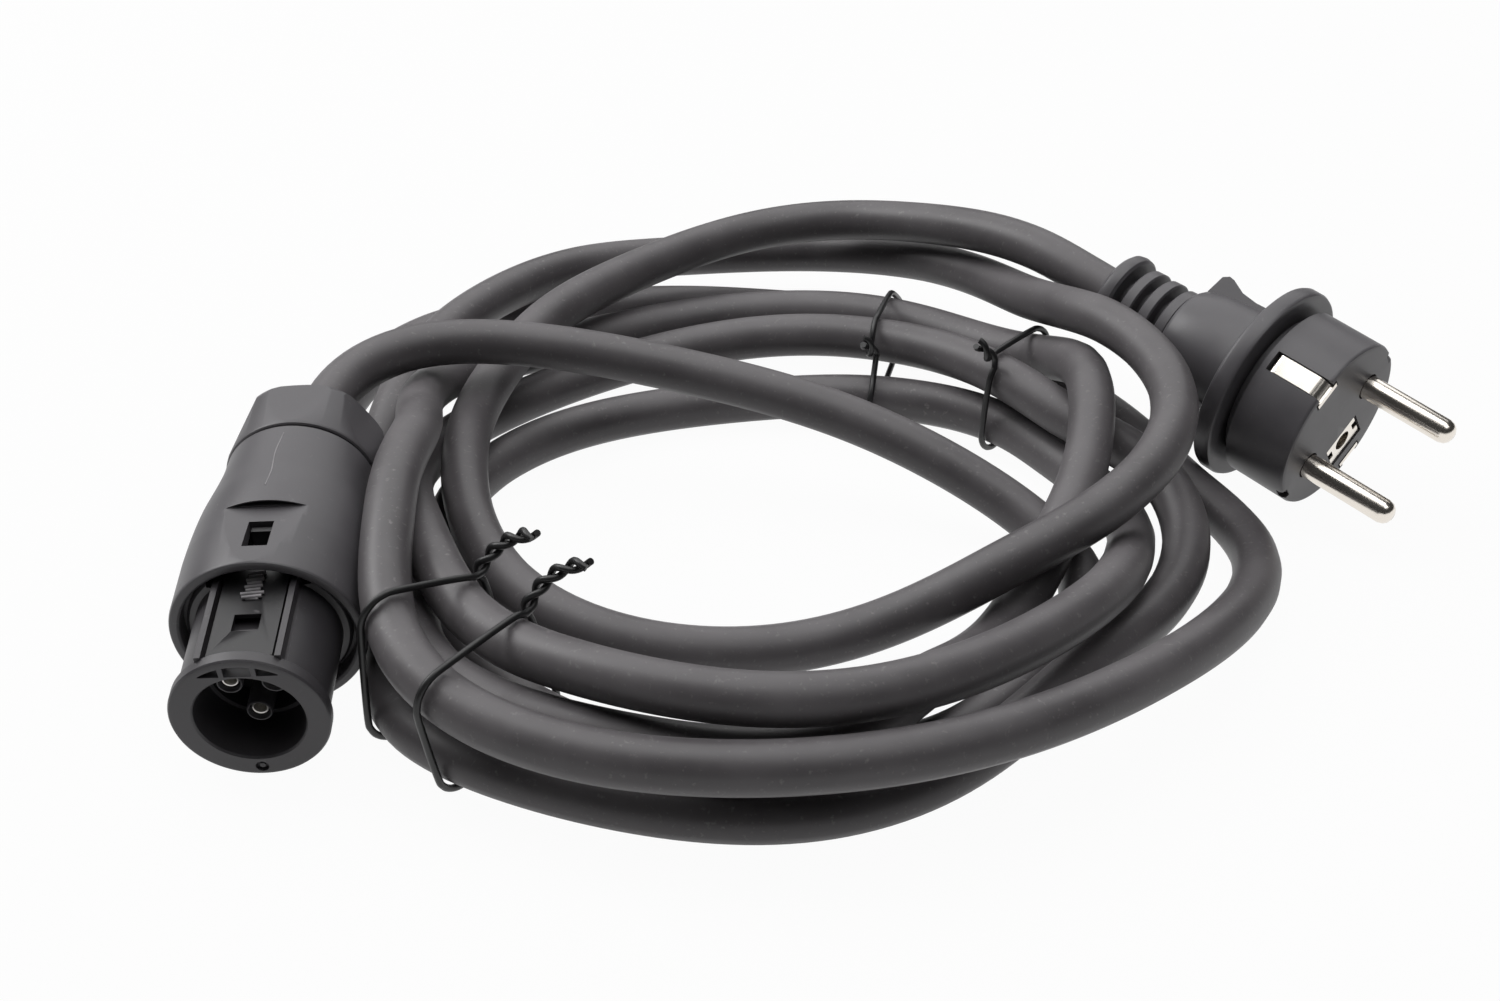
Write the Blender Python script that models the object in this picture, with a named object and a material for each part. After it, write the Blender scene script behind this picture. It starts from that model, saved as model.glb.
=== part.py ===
"""Three-pole field connector on a coiled mains cord with an earthed plug.

Sizes are in millimetres and become metres as each mesh is stored. The connector's middle stands on
the origin with its mouth toward -Y, and the floor is z = 0.
"""

import math

import bmesh
import bpy
import numpy as np
from mathutils import Matrix, Vector

MM = 0.001
CLEAR = 0.3

# Connector, measured along its axis from the mating face
TILT = math.radians(10.0)
ROLL = math.radians(-3.0)
RING_R = 13.0
RING_LONG = 2.6
RING_CHAMFER = 0.6
MOUTH_R = 9.0
MOUTH_DEEP = 10.0
BAR_THICK = 0.6
CELL_R = 11.7
CELL_RIB = 0.8
CELL_MID = 2.2
CELL_EDGE = 0.3
DIMPLE = (1.0, 0.7)
CARRIER_R = 7.9
HOUSING_R = 12.2
HOUSING_END = 42.0
HOUSING_PLAY = 2.0
GROOVE_HALF = 1.0
GROOVE_DEEP = 1.4
SLOT_HALF = 8.6
SLOT_FLOOR = 9.7
POCKET_DEEP = 0.75
POCKET_SIDE = 0.4
RAIL_X = 6.4
RAIL_WIDE = 1.0
RAIL_TOP = 12.0
RAIL_END = 21.4
RAIL_ROOT = 2.2
RAIL_GAP = 0.56
TONGUE_HALF = 5.3
TONGUE_LOW = 10.4
TONGUE_THICK = 0.9
TONGUE_ROOT = 3.0
TONGUE_TIP = 28.6
TONGUE_WINDOW = (5.3, 4.0, 9.0)
HOOK = (3.4, 2.4)
HOOK_DROP = 0.5
SHELL_FRONT = 19.0
SHELL_R = 16.4
CAVITY_GAP = 1.2
CAVITY_LEAD = 1.1
SHELL_CHAMFER = 0.6
SHELL_WAIST = 36.0
WAIST_LONG = 6.0
WAIST_DROP = (0.3, 1.0)
SHELL_SEAM = 57.8
SEAM_R = 13.2
TAPER_BACK = (12.0, 4.0)
TAPER_RISE = (1.4, 0.3)
FLAT_WALL = 1.3
FLAT_END = 34.6
WINDOW = (4.0, 6.8, 27.0)
SHELL_INNER = 33.0
NECK_R = 10.6
NECK_END = 66.0
NECK_WALL = 1.4
NECK_LIP = 0.8
NECK_SEAT = 1.5
NUT_R = 13.6
NUT_FLAT = 12.7
NUT_END = 70.6
NUT_CHAMFER = 1.6
NUT_TRAVEL = 4.0
NUT_LEAD = (0.3, 0.8)
NUT_LIP = 2.2
NUT_SEAT = 0.6
NUT_THREAD = 0.1
CABLE_EASE = 0.6
SEAL_WALL = 2.4
SEAL_AT = 3.0
SEAL_BACK = 3.4
CLAW_AT = 2.0
CLAW_TIP = (0.6, 1.0)
CLAW_SHOULDER = 1.0
SLIT_WIDE = 1.2
SLIT_AT = 6.0
CONTACTS = {"line": (-3.65, 2.6), "neutral": (3.65, 2.6), "earth": (0.0, -3.9)}
TUBE_R = 2.15
TUBE_FRONT = 5.5
CARRIER_FRONT = 14.0
CARRIER_END = 40.0
SOCKET_R = 1.45
SOCKET_BORE = 0.95
TERMINAL_R = 2.3
TERMINAL_FRONT = 26.3
SCREW_R = 1.1
SCREW_AT = 34.0
O_RING_R = 0.55
O_RING_BACK = 4.5

# Cable
CABLE_D = 8.8
CORE_R = 0.95
SHEATH_START = 50.4
COIL_AT = (91.7, 29.77)
POINT_STEP = 5.5
CABLE_GAP = 1.2
FLAT_SHARE = 0.1
POINTS_PER_TURN = 24
LEAD_OWN = 5

# Wire ties: angle round the coil, least and most reach of the strands held, tail length factor
TIE_R = 0.65
TIE_LIFT = 2.1
TIES = {
    "tie_back_left": (77.0, 45.0, 95.0, 0.4),
    "tie_back_right": (50.0, 50.0, 73.0, 0.4),
    "tie_front_left": (-143.0, 58.0, 100.0, 1.0),
    "tie_front_right": (-131.0, 58.0, 100.0, 1.0),
}

# Plug, measured along its axis from the pin face
PLUG_AT = (191.5, 51.5, 18.0)
PLUG_AIM = (0.706, -0.684, -0.184)
PLUG_PINS = (0.612, 0.461, 0.643)
PLUG_R = 17.2
PLUG_FRONT = 15.0
COLLAR_R = 19.9
COLLAR_LONG = 4.0
GRIP_R = 11.5
GRIP_END = 40.0
GRIP_END_R = 9.0
WING = (12.9, 24.0, 36.0, 4.2)
RELIEF_R = 8.2
RELIEF_END = 54.0
RELIEF_RIBS = 4
BEAD_R = 9.0
PIN_R = 2.4
PIN_LONG = 19.0
PIN_APART = 19.0
PIN_IN = 11.0
CLIP_HALF = 1.7
CLIP_THICK = 0.9
CLIP_SLOT = 2.1
PLATE = (7.0, 5.6, 8.0, 0.8)
EARTH_HOLE_R = 2.0

CABLE_R = CABLE_D / 2
O_RING_AT = HOUSING_END - O_RING_BACK
AXIS = np.array([0.0, math.cos(TILT), math.sin(TILT)])
FACE_Y = -(NUT_END * math.cos(TILT) + (NUT_R - NUT_CHAMFER - RING_R + RING_CHAMFER) * math.sin(TILT)) / 2
FACE_Z = SHELL_R * math.cos(TILT) - (SHELL_FRONT + SHELL_CHAMFER) * math.sin(TILT)
FACE = np.array([0.0, FACE_Y, FACE_Z])
AIM = np.array(PLUG_AIM) / np.linalg.norm(PLUG_AIM)
PINS = np.array(PLUG_PINS) - AIM * np.dot(PLUG_PINS, AIM)
PINS = PINS / np.linalg.norm(PINS)
PLUG_FACE = np.array(PLUG_AT)
SHEATH_END = GRIP_END

for old in list(bpy.data.objects):
    bpy.data.objects.remove(old, do_unlink=True)


# Shared tools

def material(name, colour, roughness, metallic=0.0):
    """A Principled material from an sRGB hex colour."""
    made = bpy.data.materials.new(name)
    made.use_nodes = True
    linear = []
    for i in (0, 2, 4):
        part = int(colour[i:i + 2], 16) / 255
        linear.append(part / 12.92 if part <= 0.04045 else ((part + 0.055) / 1.055) ** 2.4)
    shader = made.node_tree.nodes["Principled BSDF"]
    shader.inputs["Base Color"].default_value = (*linear, 1.0)
    shader.inputs["Roughness"].default_value = roughness
    shader.inputs["Metallic"].default_value = metallic
    return made


def frame_empty(name, matrix):
    empty = bpy.data.objects.new(name, None)
    empty.matrix_world = matrix
    empty.empty_display_size = 0.01
    bpy.context.collection.objects.link(empty)
    return empty


def store(name, bm, origin=(0.0, 0.0, 0.0)):
    """Turns a bmesh in millimetres into an object whose origin is the given local point."""
    bmesh.ops.translate(bm, verts=bm.verts, vec=-Vector(origin))
    bmesh.ops.scale(bm, verts=bm.verts, vec=(MM, MM, MM))
    bmesh.ops.recalc_face_normals(bm, faces=bm.faces)
    mesh = bpy.data.meshes.new(name)
    bm.to_mesh(mesh)
    bm.free()
    made = bpy.data.objects.new(name, mesh)
    made.location = Vector(origin) * MM
    bpy.context.collection.objects.link(made)
    return made


def combine(target, tools, operation="DIFFERENCE"):
    """Joins, cuts or crosses a solid with others, which are then removed."""
    for tool in tools:
        step = target.modifiers.new(operation, "BOOLEAN")
        step.operation = operation
        step.solver = "EXACT"
        step.object = tool
    bpy.context.view_layer.update()
    graph = bpy.context.evaluated_depsgraph_get()
    mesh = bpy.data.meshes.new_from_object(target.evaluated_get(graph))
    target.modifiers.clear()
    target.data = mesh
    for tool in tools:
        bpy.data.objects.remove(tool, do_unlink=True)
    return target


def dress(made, look, parent=None, smooth=True):
    """Gives a solid its material, its frame and its shading."""
    made.data.materials.clear()
    made.data.materials.append(look)
    if parent is not None:
        made.parent = parent
    if smooth and made.type == "MESH":
        made.data.shade_smooth()
        made.data.set_sharp_from_angle(angle=math.radians(32))
    return made


def lathe(name, profile, sides=40, ring=True):
    """A solid turned about the local Y axis from (radius, along) points."""
    bm = bmesh.new()
    start = math.radians(1.7)
    verts = [bm.verts.new((radius * math.cos(start), along, radius * math.sin(start)))
             for radius, along in profile]
    pairs = list(zip(verts, verts[1:]))
    if ring:
        pairs.append((verts[-1], verts[0]))
    edges = [bm.edges.new(pair) for pair in pairs]
    bmesh.ops.spin(bm, geom=verts + edges, cent=(0, 0, 0), axis=(0, 1, 0), dvec=(0, 0, 0),
                   angle=2 * math.pi, steps=sides, use_merge=True, use_duplicate=False)
    bmesh.ops.remove_doubles(bm, verts=bm.verts, dist=0.0001)
    return store(name, bm)


def prism(name, outline, low, high):
    """A solid pushed along the local Y axis from an outline of (x, z) points."""
    bm = bmesh.new()
    face = bm.faces.new([bm.verts.new((x, low, z)) for x, z in outline])
    pushed = bmesh.ops.extrude_face_region(bm, geom=[face])["geom"]
    moved = [item for item in pushed if isinstance(item, bmesh.types.BMVert)]
    bmesh.ops.translate(bm, verts=moved, vec=(0, high - low, 0))
    return store(name, bm)


def block(name, x, y, z, bevel=0.0):
    """A box from three (low, high) pairs, with its edges rounded when a bevel is given."""
    bm = bmesh.new()
    bmesh.ops.create_cube(bm, size=1.0)
    bmesh.ops.scale(bm, verts=bm.verts, vec=(x[1] - x[0], y[1] - y[0], z[1] - z[0]))
    bmesh.ops.translate(bm, verts=bm.verts, vec=((x[0] + x[1]) / 2, (y[0] + y[1]) / 2, (z[0] + z[1]) / 2))
    if bevel:
        bmesh.ops.bevel(bm, geom=bm.edges[:], offset=bevel, segments=2, profile=0.5, affect="EDGES")
    return store(name, bm)


def rod(name, radius, start, end, sides=14):
    """A round bar between two points."""
    start = Vector(start)
    along = Vector(end) - start
    turn = along.to_track_quat("Z", "Y").to_matrix().to_4x4()
    bm = bmesh.new()
    bmesh.ops.create_cone(bm, cap_ends=True, segments=sides, radius1=radius, radius2=radius,
                          depth=along.length, matrix=Matrix.Translation(start + along / 2) @ turn)
    return store(name, bm)


def arc(radius, start, end, steps):
    """Points of a circle in the cross plane, angles in degrees from +X toward +Z."""
    angles = np.radians(np.linspace(start, end, steps + 1))
    return [(radius * math.cos(a), radius * math.sin(a)) for a in angles]


def tube(name, points, radius, sides_half):
    """A capped round tube through the points."""
    curve = bpy.data.curves.new(name, "CURVE")
    curve.dimensions = "3D"
    curve.bevel_depth = radius * MM
    curve.bevel_resolution = sides_half
    curve.use_fill_caps = True
    line = curve.splines.new("POLY")
    line.points.add(len(points) - 1)
    for spot, point in zip(line.points, points):
        spot.co = (point[0] * MM, point[1] * MM, point[2] * MM, 1.0)
    line.use_smooth = True
    made = bpy.data.objects.new(name, curve)
    bpy.context.collection.objects.link(made)
    return made


def meshed(made):
    """The same solid as a welded mesh object, in place of its curve."""
    name = made.name
    bpy.context.view_layer.update()
    graph = bpy.context.evaluated_depsgraph_get()
    mesh = bpy.data.meshes.new_from_object(made.evaluated_get(graph))
    bpy.data.objects.remove(made, do_unlink=True)
    bm = bmesh.new()
    bm.from_mesh(mesh)
    bmesh.ops.remove_doubles(bm, verts=bm.verts, dist=0.000001)
    bmesh.ops.recalc_face_normals(bm, faces=bm.faces)
    bm.to_mesh(mesh)
    bm.free()
    fresh = bpy.data.objects.new(name, mesh)
    bpy.context.collection.objects.link(fresh)
    return fresh


GREY = material("dark_moulding", "4a484b", 0.5)
BLACK = material("black_insert", "1d1c1e", 0.5)
RUBBER = material("cable_rubber", "3c3a3c", 0.65)
SEAL = material("seal_rubber", "161617", 0.8)
BRASS = material("brass_contact", "b08d4f", 0.35, 1.0)
STEEL = material("screw_steel", "a9abad", 0.35, 1.0)
NICKEL = material("nickel_pin", "cfccc6", 0.25, 1.0)
WIRE = material("tie_wire", "121213", 0.55)
CORES = {
    "line": material("core_brown", "5b3a22", 0.5),
    "neutral": material("core_blue", "2c4f8c", 0.5),
    "earth": material("core_green_yellow", "6f8f2e", 0.5),
}

connector = frame_empty("connector_frame",
                        Matrix.Translation(Vector(FACE) * MM) @ Matrix.Rotation(TILT, 4, "X")
                        @ Matrix.Rotation(ROLL, 4, "Y"))
plug_axes = Matrix((PINS, -AIM, np.cross(AIM, PINS))).transposed().to_4x4()
plug = frame_empty("plug_frame", Matrix.Translation(Vector(PLUG_FACE) * MM) @ plug_axes)

# Outer shell: tapered barrel, open at the front, with a flat, a window and a threaded neck
cavity_r = HOUSING_R + CAVITY_GAP
front_bore = math.hypot(RAIL_TOP, RAIL_X + RAIL_WIDE / 2) + RAIL_GAP
body_r = HOUSING_R + CLEAR
claw_r = NECK_R - NECK_WALL - CLEAR
shell = lathe("outer_shell", [
    (front_bore, SHELL_FRONT + SHELL_CHAMFER),
    (SHELL_R - SHELL_CHAMFER, SHELL_FRONT),
    (SHELL_R, SHELL_FRONT + SHELL_CHAMFER),
    (SHELL_R, SHELL_WAIST - WAIST_LONG),
    (SHELL_R - WAIST_DROP[0], SHELL_WAIST),
    (SHELL_R - WAIST_DROP[1], SHELL_WAIST + WAIST_LONG),
    (SEAM_R + TAPER_RISE[0], SHELL_SEAM - TAPER_BACK[0]),
    (SEAM_R + TAPER_RISE[1], SHELL_SEAM - TAPER_BACK[1]),
    (SEAM_R, SHELL_SEAM),
    (NECK_R, SHELL_SEAM),
    (NECK_R, NECK_END),
    (claw_r + CLEAR, NECK_END),
    (claw_r + CLEAR, SHEATH_START + NECK_SEAT),
    (claw_r - NECK_LIP, SHEATH_START + NECK_SEAT),
    (claw_r - NECK_LIP, HOUSING_END + HOUSING_PLAY),
    (body_r, HOUSING_END + HOUSING_PLAY),
    (body_r, SHELL_INNER),
    (cavity_r, SHELL_INNER),
    (cavity_r, RAIL_END + CAVITY_LEAD),
    (front_bore, RAIL_END + CAVITY_LEAD),
], 48)
flat_z = cavity_r + FLAT_WALL
flat_cut = block("flat_cut", (-SHELL_R, SHELL_R), (SHELL_FRONT - 2, FLAT_END), (flat_z, SHELL_R + 2))
window_cut = block("window_cut", (-WINDOW[0] / 2, WINDOW[0] / 2),
                   (WINDOW[2] - WINDOW[1] / 2, WINDOW[2] + WINDOW[1] / 2), (HOUSING_R, SHELL_R + 2))
combine(shell, [flat_cut, window_cut])
dress(shell, GREY, connector)

# Contact housing: face ring with coding cells over a round mouth, slotted top with two rails
carrier_bore = CARRIER_R + CLEAR
housing = lathe("contact_housing", [
    (RING_R - RING_CHAMFER, 0.0),
    (RING_R, RING_CHAMFER),
    (RING_R, RING_LONG),
    (HOUSING_R, RING_LONG),
    (HOUSING_R, O_RING_AT - GROOVE_HALF),
    (HOUSING_R - GROOVE_DEEP, O_RING_AT - GROOVE_HALF),
    (HOUSING_R - GROOVE_DEEP, O_RING_AT + GROOVE_HALF),
    (HOUSING_R, O_RING_AT + GROOVE_HALF),
    (HOUSING_R, HOUSING_END),
    (carrier_bore, HOUSING_END),
    (carrier_bore, MOUTH_DEEP),
    (MOUTH_R, MOUTH_DEEP),
    (MOUTH_R, 0.0),
], 48)
slot_cut = block("slot_cut", (-SLOT_HALF, SLOT_HALF), (RING_LONG - 0.2, SHELL_INNER - 1),
                 (SLOT_FLOOR, RING_R + 3))
pocket_cut = block("pocket_cut", (-TONGUE_HALF - POCKET_SIDE, TONGUE_HALF + POCKET_SIDE),
                   (MOUTH_DEEP + 0.5, SHELL_INNER - 2), (SLOT_FLOOR - POCKET_DEEP, RING_R + 2))
combine(housing, [slot_cut, pocket_cut])
bar_top = MOUTH_R + BAR_THICK
lens_half = math.sqrt(CELL_R ** 2 - bar_top ** 2) - CELL_EDGE
edges = (-lens_half, -CELL_MID - CELL_RIB / 2, CELL_MID + CELL_RIB / 2, lens_half)
cells = []
for i, (low, high) in enumerate(((edges[0], edges[1] - CELL_RIB / 2),
                                 (edges[1] + CELL_RIB / 2, edges[2] - CELL_RIB / 2),
                                 (edges[2] + CELL_RIB / 2, edges[3]))):
    rim = [(x, math.sqrt(CELL_R ** 2 - x * x)) for x in np.linspace(high, low, 6)]
    cells.append(prism(f"cell_cut_{i}", [(low, bar_top), (high, bar_top)] + rim, -1.0, RING_LONG))
dimple_z = -(MOUTH_R + RING_R) / 2
dimple_cut = rod("dimple_cut", DIMPLE[0], (0.0, -1.0, dimple_z), (0.0, DIMPLE[1], dimple_z), 12)
combine(housing, cells + [dimple_cut])
rails = []
for side in (-1, 1):
    spots = sorted((side * (RAIL_X - RAIL_WIDE / 2), side * (RAIL_X + RAIL_WIDE / 2)))
    rails.append(block(f"rail_{side}", spots, (RING_LONG - 0.5, RAIL_END),
                       (SLOT_FLOOR - RAIL_ROOT, RAIL_TOP)))
combine(housing, rails, "UNION")
dress(housing, GREY, connector)

# Latch tongue: flexing strip with a window and a hook that snaps into the shell's window
tongue_top = TONGUE_LOW + TONGUE_THICK
hinge = (0.0, TONGUE_ROOT + 1.4, TONGUE_LOW + TONGUE_THICK / 2)
tongue = block("latch_tongue", (-TONGUE_HALF, TONGUE_HALF), (TONGUE_ROOT, TONGUE_TIP),
               (TONGUE_LOW, tongue_top))
hook = block("hook", (-HOOK[0] / 2, HOOK[0] / 2), (TONGUE_TIP - HOOK[1], TONGUE_TIP),
             (TONGUE_LOW + 0.2, flat_z - HOOK_DROP))
combine(tongue, [hook], "UNION")
tongue_cut = block("tongue_cut", (-TONGUE_WINDOW[0] / 2, TONGUE_WINDOW[0] / 2),
                   (TONGUE_WINDOW[2] - TONGUE_WINDOW[1] / 2, TONGUE_WINDOW[2] + TONGUE_WINDOW[1] / 2),
                   (TONGUE_LOW - 2, tongue_top + 2))
combine(tongue, [tongue_cut])
tongue.data.transform(Matrix.Translation(-Vector(hinge) * MM))
tongue.location = Vector(hinge) * MM
dress(tongue, GREY, connector, smooth=False)

# Contact carrier: insulating block with three forward tubes, bored for the contacts and screws
carrier = lathe("contact_carrier", [
    (0.0, CARRIER_FRONT),
    (CARRIER_R, CARRIER_FRONT),
    (CARRIER_R, CARRIER_END),
    (0.0, CARRIER_END),
], 32, ring=False)
tubes = []
bores = []
for role, (x, z) in CONTACTS.items():
    tubes.append(rod(f"tube_{role}", TUBE_R, (x, TUBE_FRONT, z), (x, CARRIER_FRONT + 1, z), 16))
    bores.append(rod(f"bore_{role}", SOCKET_R + CLEAR, (x, TUBE_FRONT - 1, z), (x, CARRIER_END, z), 16))
    bores.append(rod(f"pocket_{role}", TERMINAL_R + CLEAR, (x, TERMINAL_FRONT - CLEAR, z),
                     (x, CARRIER_END + 1, z), 16))
    out = Vector((x, 0.0, z)).normalized()
    way_out = out * (CARRIER_R + 1) + Vector((0, SCREW_AT, 0))
    bores.append(rod(f"screw_way_{role}", SCREW_R + CLEAR, (x, SCREW_AT, z), way_out, 12))
combine(carrier, tubes, "UNION")
combine(carrier, bores)
dress(carrier, BLACK, connector)

# Socket contacts with their screw terminals, one for each pole
terminal_end = CARRIER_END - 1.0
for role, (x, z) in CONTACTS.items():
    socket = lathe(f"{role}_socket", [
        (0.0, 17.0),
        (SOCKET_BORE, 16.5),
        (SOCKET_BORE, TUBE_FRONT + 0.8),
        (SOCKET_R, TUBE_FRONT + 0.8),
        (SOCKET_R, TERMINAL_FRONT),
        (TERMINAL_R, TERMINAL_FRONT),
        (TERMINAL_R, terminal_end),
        (CORE_R + CLEAR, terminal_end),
        (CORE_R + CLEAR, TERMINAL_FRONT + 3.0),
        (0.0, TERMINAL_FRONT + 3.0),
    ], 16, ring=False)
    socket.data.transform(Matrix.Translation(Vector((x, 0.0, z)) * MM))
    out = Vector((x, 0.0, z)).normalized()
    seat = Vector((x, SCREW_AT, z))
    combine(socket, [rod(f"thread_{role}", SCREW_R + CLEAR, seat, seat + out * (TERMINAL_R + 1), 12)])
    dress(socket, BRASS, connector)
    head = seat + out * (CARRIER_R - CLEAR - out.dot(seat))
    screw = rod(f"terminal_screw_{role}", SCREW_R, seat + out * (CORE_R + CLEAR), head, 12)
    slot = block(f"slot_{role}", (-0.25, 0.25), (-3.0, 3.0), (-0.5, 0.5))
    slot.data.transform(Matrix.Translation(head * MM) @ out.to_track_quat("Z", "Y").to_matrix().to_4x4())
    combine(screw, [slot])
    dress(screw, STEEL, connector)

# O-ring between housing and shell
o_ring_mid = HOUSING_R - GROOVE_DEEP + CLEAR + O_RING_R
o_ring_profile = [(o_ring_mid + x, O_RING_AT + z) for x, z in arc(O_RING_R, 0, 315, 7)]
dress(lathe("housing_o_ring", o_ring_profile, 36), SEAL, connector)

# Cable gland: rubber seal, slit clamp claw and the nut that presses them
seal_r = CABLE_R + CLEAR + SEAL_WALL
claw_end = NECK_END - CLAW_TIP[0]
seal_end = claw_end - SEAL_BACK
dress(lathe("gland_seal", [
    (CABLE_R + CLEAR, SHEATH_START + SEAL_AT),
    (seal_r, SHEATH_START + SEAL_AT),
    (seal_r, seal_end),
    (CABLE_R + CLEAR, seal_end),
], 28), SEAL, connector)
claw = lathe("clamp_claw", [
    (seal_r + CLEAR, SHEATH_START + CLAW_AT),
    (claw_r, SHEATH_START + CLAW_AT),
    (claw_r, claw_end - CLAW_TIP[1]),
    (claw_r - CLAW_TIP[0], claw_end),
    (seal_r + CLEAR, claw_end),
], 32)
slits = []
for k in range(4):
    slit = block(f"slit_{k}", (-claw_r - 1, claw_r + 1), (SHEATH_START + SLIT_AT, NECK_END + 1),
                 (-SLIT_WIDE / 2, SLIT_WIDE / 2))
    slit.data.transform(Matrix.Rotation(math.radians(11 + 45 * k), 4, "Y"))
    slits.append(slit)
combine(claw, slits)
dress(claw, BLACK, connector)
neck_bore = NECK_R + CLEAR + NUT_THREAD
nut = lathe("gland_nut", [
    (NUT_R - NUT_LEAD[0], SHELL_SEAM + CLEAR),
    (NUT_R, SHELL_SEAM + NUT_LEAD[1]),
    (NUT_R, NUT_END - NUT_CHAMFER),
    (NUT_R - NUT_CHAMFER, NUT_END),
    (CABLE_R + CABLE_EASE, NUT_END),
    (CABLE_R + CABLE_EASE, NUT_END - NUT_LIP),
    (claw_r - CLAW_SHOULDER, NECK_END + NUT_SEAT),
    (neck_bore, NECK_END + NUT_SEAT),
    (neck_bore, SHELL_SEAM + CLEAR),
], 42)
hexagon = arc(NUT_FLAT / math.cos(math.pi / 6), 0, 300, 5)
combine(nut, [prism("nut_flats", hexagon, SHELL_SEAM - 2, NUT_END + 2)], "INTERSECT")
dress(nut, GREY, connector)


# Cable route: an end at the connector, about six turns read from stations, an end at the plug

def on_connector(along):
    return tuple(FACE + AXIS * along)


def on_plug(behind):
    return tuple(PLUG_FACE - AIM * behind)


NOSE_END = NUT_END + NUT_TRAVEL + 3.0
LEAD_ROUTE = [
    on_connector(SHEATH_START), on_connector(NOSE_END),
    (6.7, 58.8, 26.5), (21.7, 64.8, 27.8), (42.7, 64.8, 27.8), (64.7, 59.8, 25.8),
    (88.7, 54.3, 22.0), (107.7, 47.8, 17.5), (123.7, 37.8, 11.5),
]
# Reach from the coil's middle and height at each eighth of a turn, clockwise, from its right side
STATIONS = [
    (46, 6.5), (54, 4.6), (66, 4.8), (72, 4.6), (71.5, 8.5), (64, 4.6), (56, 4.6), (58.5, 4.6),
    (62, 7), (60.5, 18), (75, 24), (80, 19), (74.5, 13.5), (81, 5.5), (71, 12.5), (60, 14),
    (64.5, 9.5), (60, 9), (77.5, 4.6), (88.5, 8), (93.5, 5), (115, 7), (96, 4.6), (78, 4.6),
    (81, 4.6), (75.8, 14), (83.5, 18.5), (88.5, 20.5), (78, 27), (87, 12), (86, 10.5), (67, 15),
    (48.4, 14.8), (45, 5), (74, 13.6), (81.5, 18.5), (80.5, 6.5), (103, 15), (118, 9.5), (75, 28),
    (64, 27.5), (37, 13), (31.5, 4.8), (51.5, 9.5), (64.5, 13), (82.5, 17.5),
]
PLUG_ROUTE = [
    (51.7, 112.8, 19.0), (75.7, 133.8, 20.0), (99.7, 138.8, 21.6), (117.7, 126.4, 25.6),
    (132.6, 109.4, 29.2), on_plug(RELIEF_END + 9.0), on_plug(SHEATH_END),
]


def station_points():
    points = []
    for i, (reach, height) in enumerate(STATIONS):
        angle = -math.radians(45 * i)
        points.append((COIL_AT[0] + reach * math.cos(angle), COIL_AT[1] + reach * math.sin(angle), height))
    return points


def smooth_curve(points, count):
    """A natural cubic spline through the points, at the given number of places."""
    p = np.array(points, float)
    knot = np.r_[0, np.cumsum(np.linalg.norm(np.diff(p, axis=0), axis=1) ** 0.5)]
    n = len(knot)
    h = np.diff(knot)
    system = np.eye(n)
    right = np.zeros((n, 3))
    for i in range(1, n - 1):
        system[i, i - 1:i + 2] = (h[i - 1], 2 * (h[i - 1] + h[i]), h[i])
        right[i] = 6 * ((p[i + 1] - p[i]) / h[i] - (p[i] - p[i - 1]) / h[i - 1])
    bend = np.linalg.solve(system, right)
    at = np.linspace(0, knot[-1], count)
    k = np.clip(np.searchsorted(knot, at) - 1, 0, n - 2)
    before = (knot[k + 1] - at)[:, None]
    after = (at - knot[k])[:, None]
    wide = h[k][:, None]
    curved = (bend[k] * before ** 3 + bend[k + 1] * after ** 3) / (6 * wide)
    start = (p[k] / wide - bend[k] * wide / 6) * before
    end = (p[k + 1] / wide - bend[k + 1] * wide / 6) * after
    return curved + start + end


def lengths(points):
    return np.r_[0, np.cumsum(np.linalg.norm(np.diff(points, axis=0), axis=1))]


def at_lengths(points, places):
    """Points of a line at the given distances along it."""
    along = lengths(points)
    return np.stack([np.interp(places, along, points[:, i]) for i in range(3)], 1)


def floor_height(points):
    """The least height of the cable's middle: on the floor, and on the wire under each tie."""
    out = points[:, :2] - np.array(COIL_AT)
    low = np.full(len(points), CABLE_R * (1 - 2 * FLAT_SHARE))
    for degrees, least, most, _ in TIES.values():
        way = np.array([math.cos(math.radians(degrees)), math.sin(math.radians(degrees))])
        across = out @ np.array([-way[1], way[0]])
        held = (out @ way > least - 6) & (out @ way < most + 6)
        lift = CABLE_R + TIE_LIFT - low
        low = low + np.where(held, lift * np.exp(-(across / 12.0) ** 2), 0.0)
    return low


def keep_off(points, start, way, shape, own):
    """How far each point must move to keep the cable off a body of (along, radius) steps on an axis."""
    marks, radii = np.array(shape).T
    out = points - start
    along = out @ way
    away = out - along[:, None] * way
    reach = np.linalg.norm(away, axis=1)
    need = np.interp(along, marks, radii) + CABLE_R + 0.9
    inside = (along > marks[0] - CABLE_R) & (along < marks[-1]) & (reach < need)
    inside[own] = False
    push = np.zeros_like(points)
    push[inside] = away[inside] / reach[inside, None] * (need - reach)[inside, None]
    return push


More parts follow.
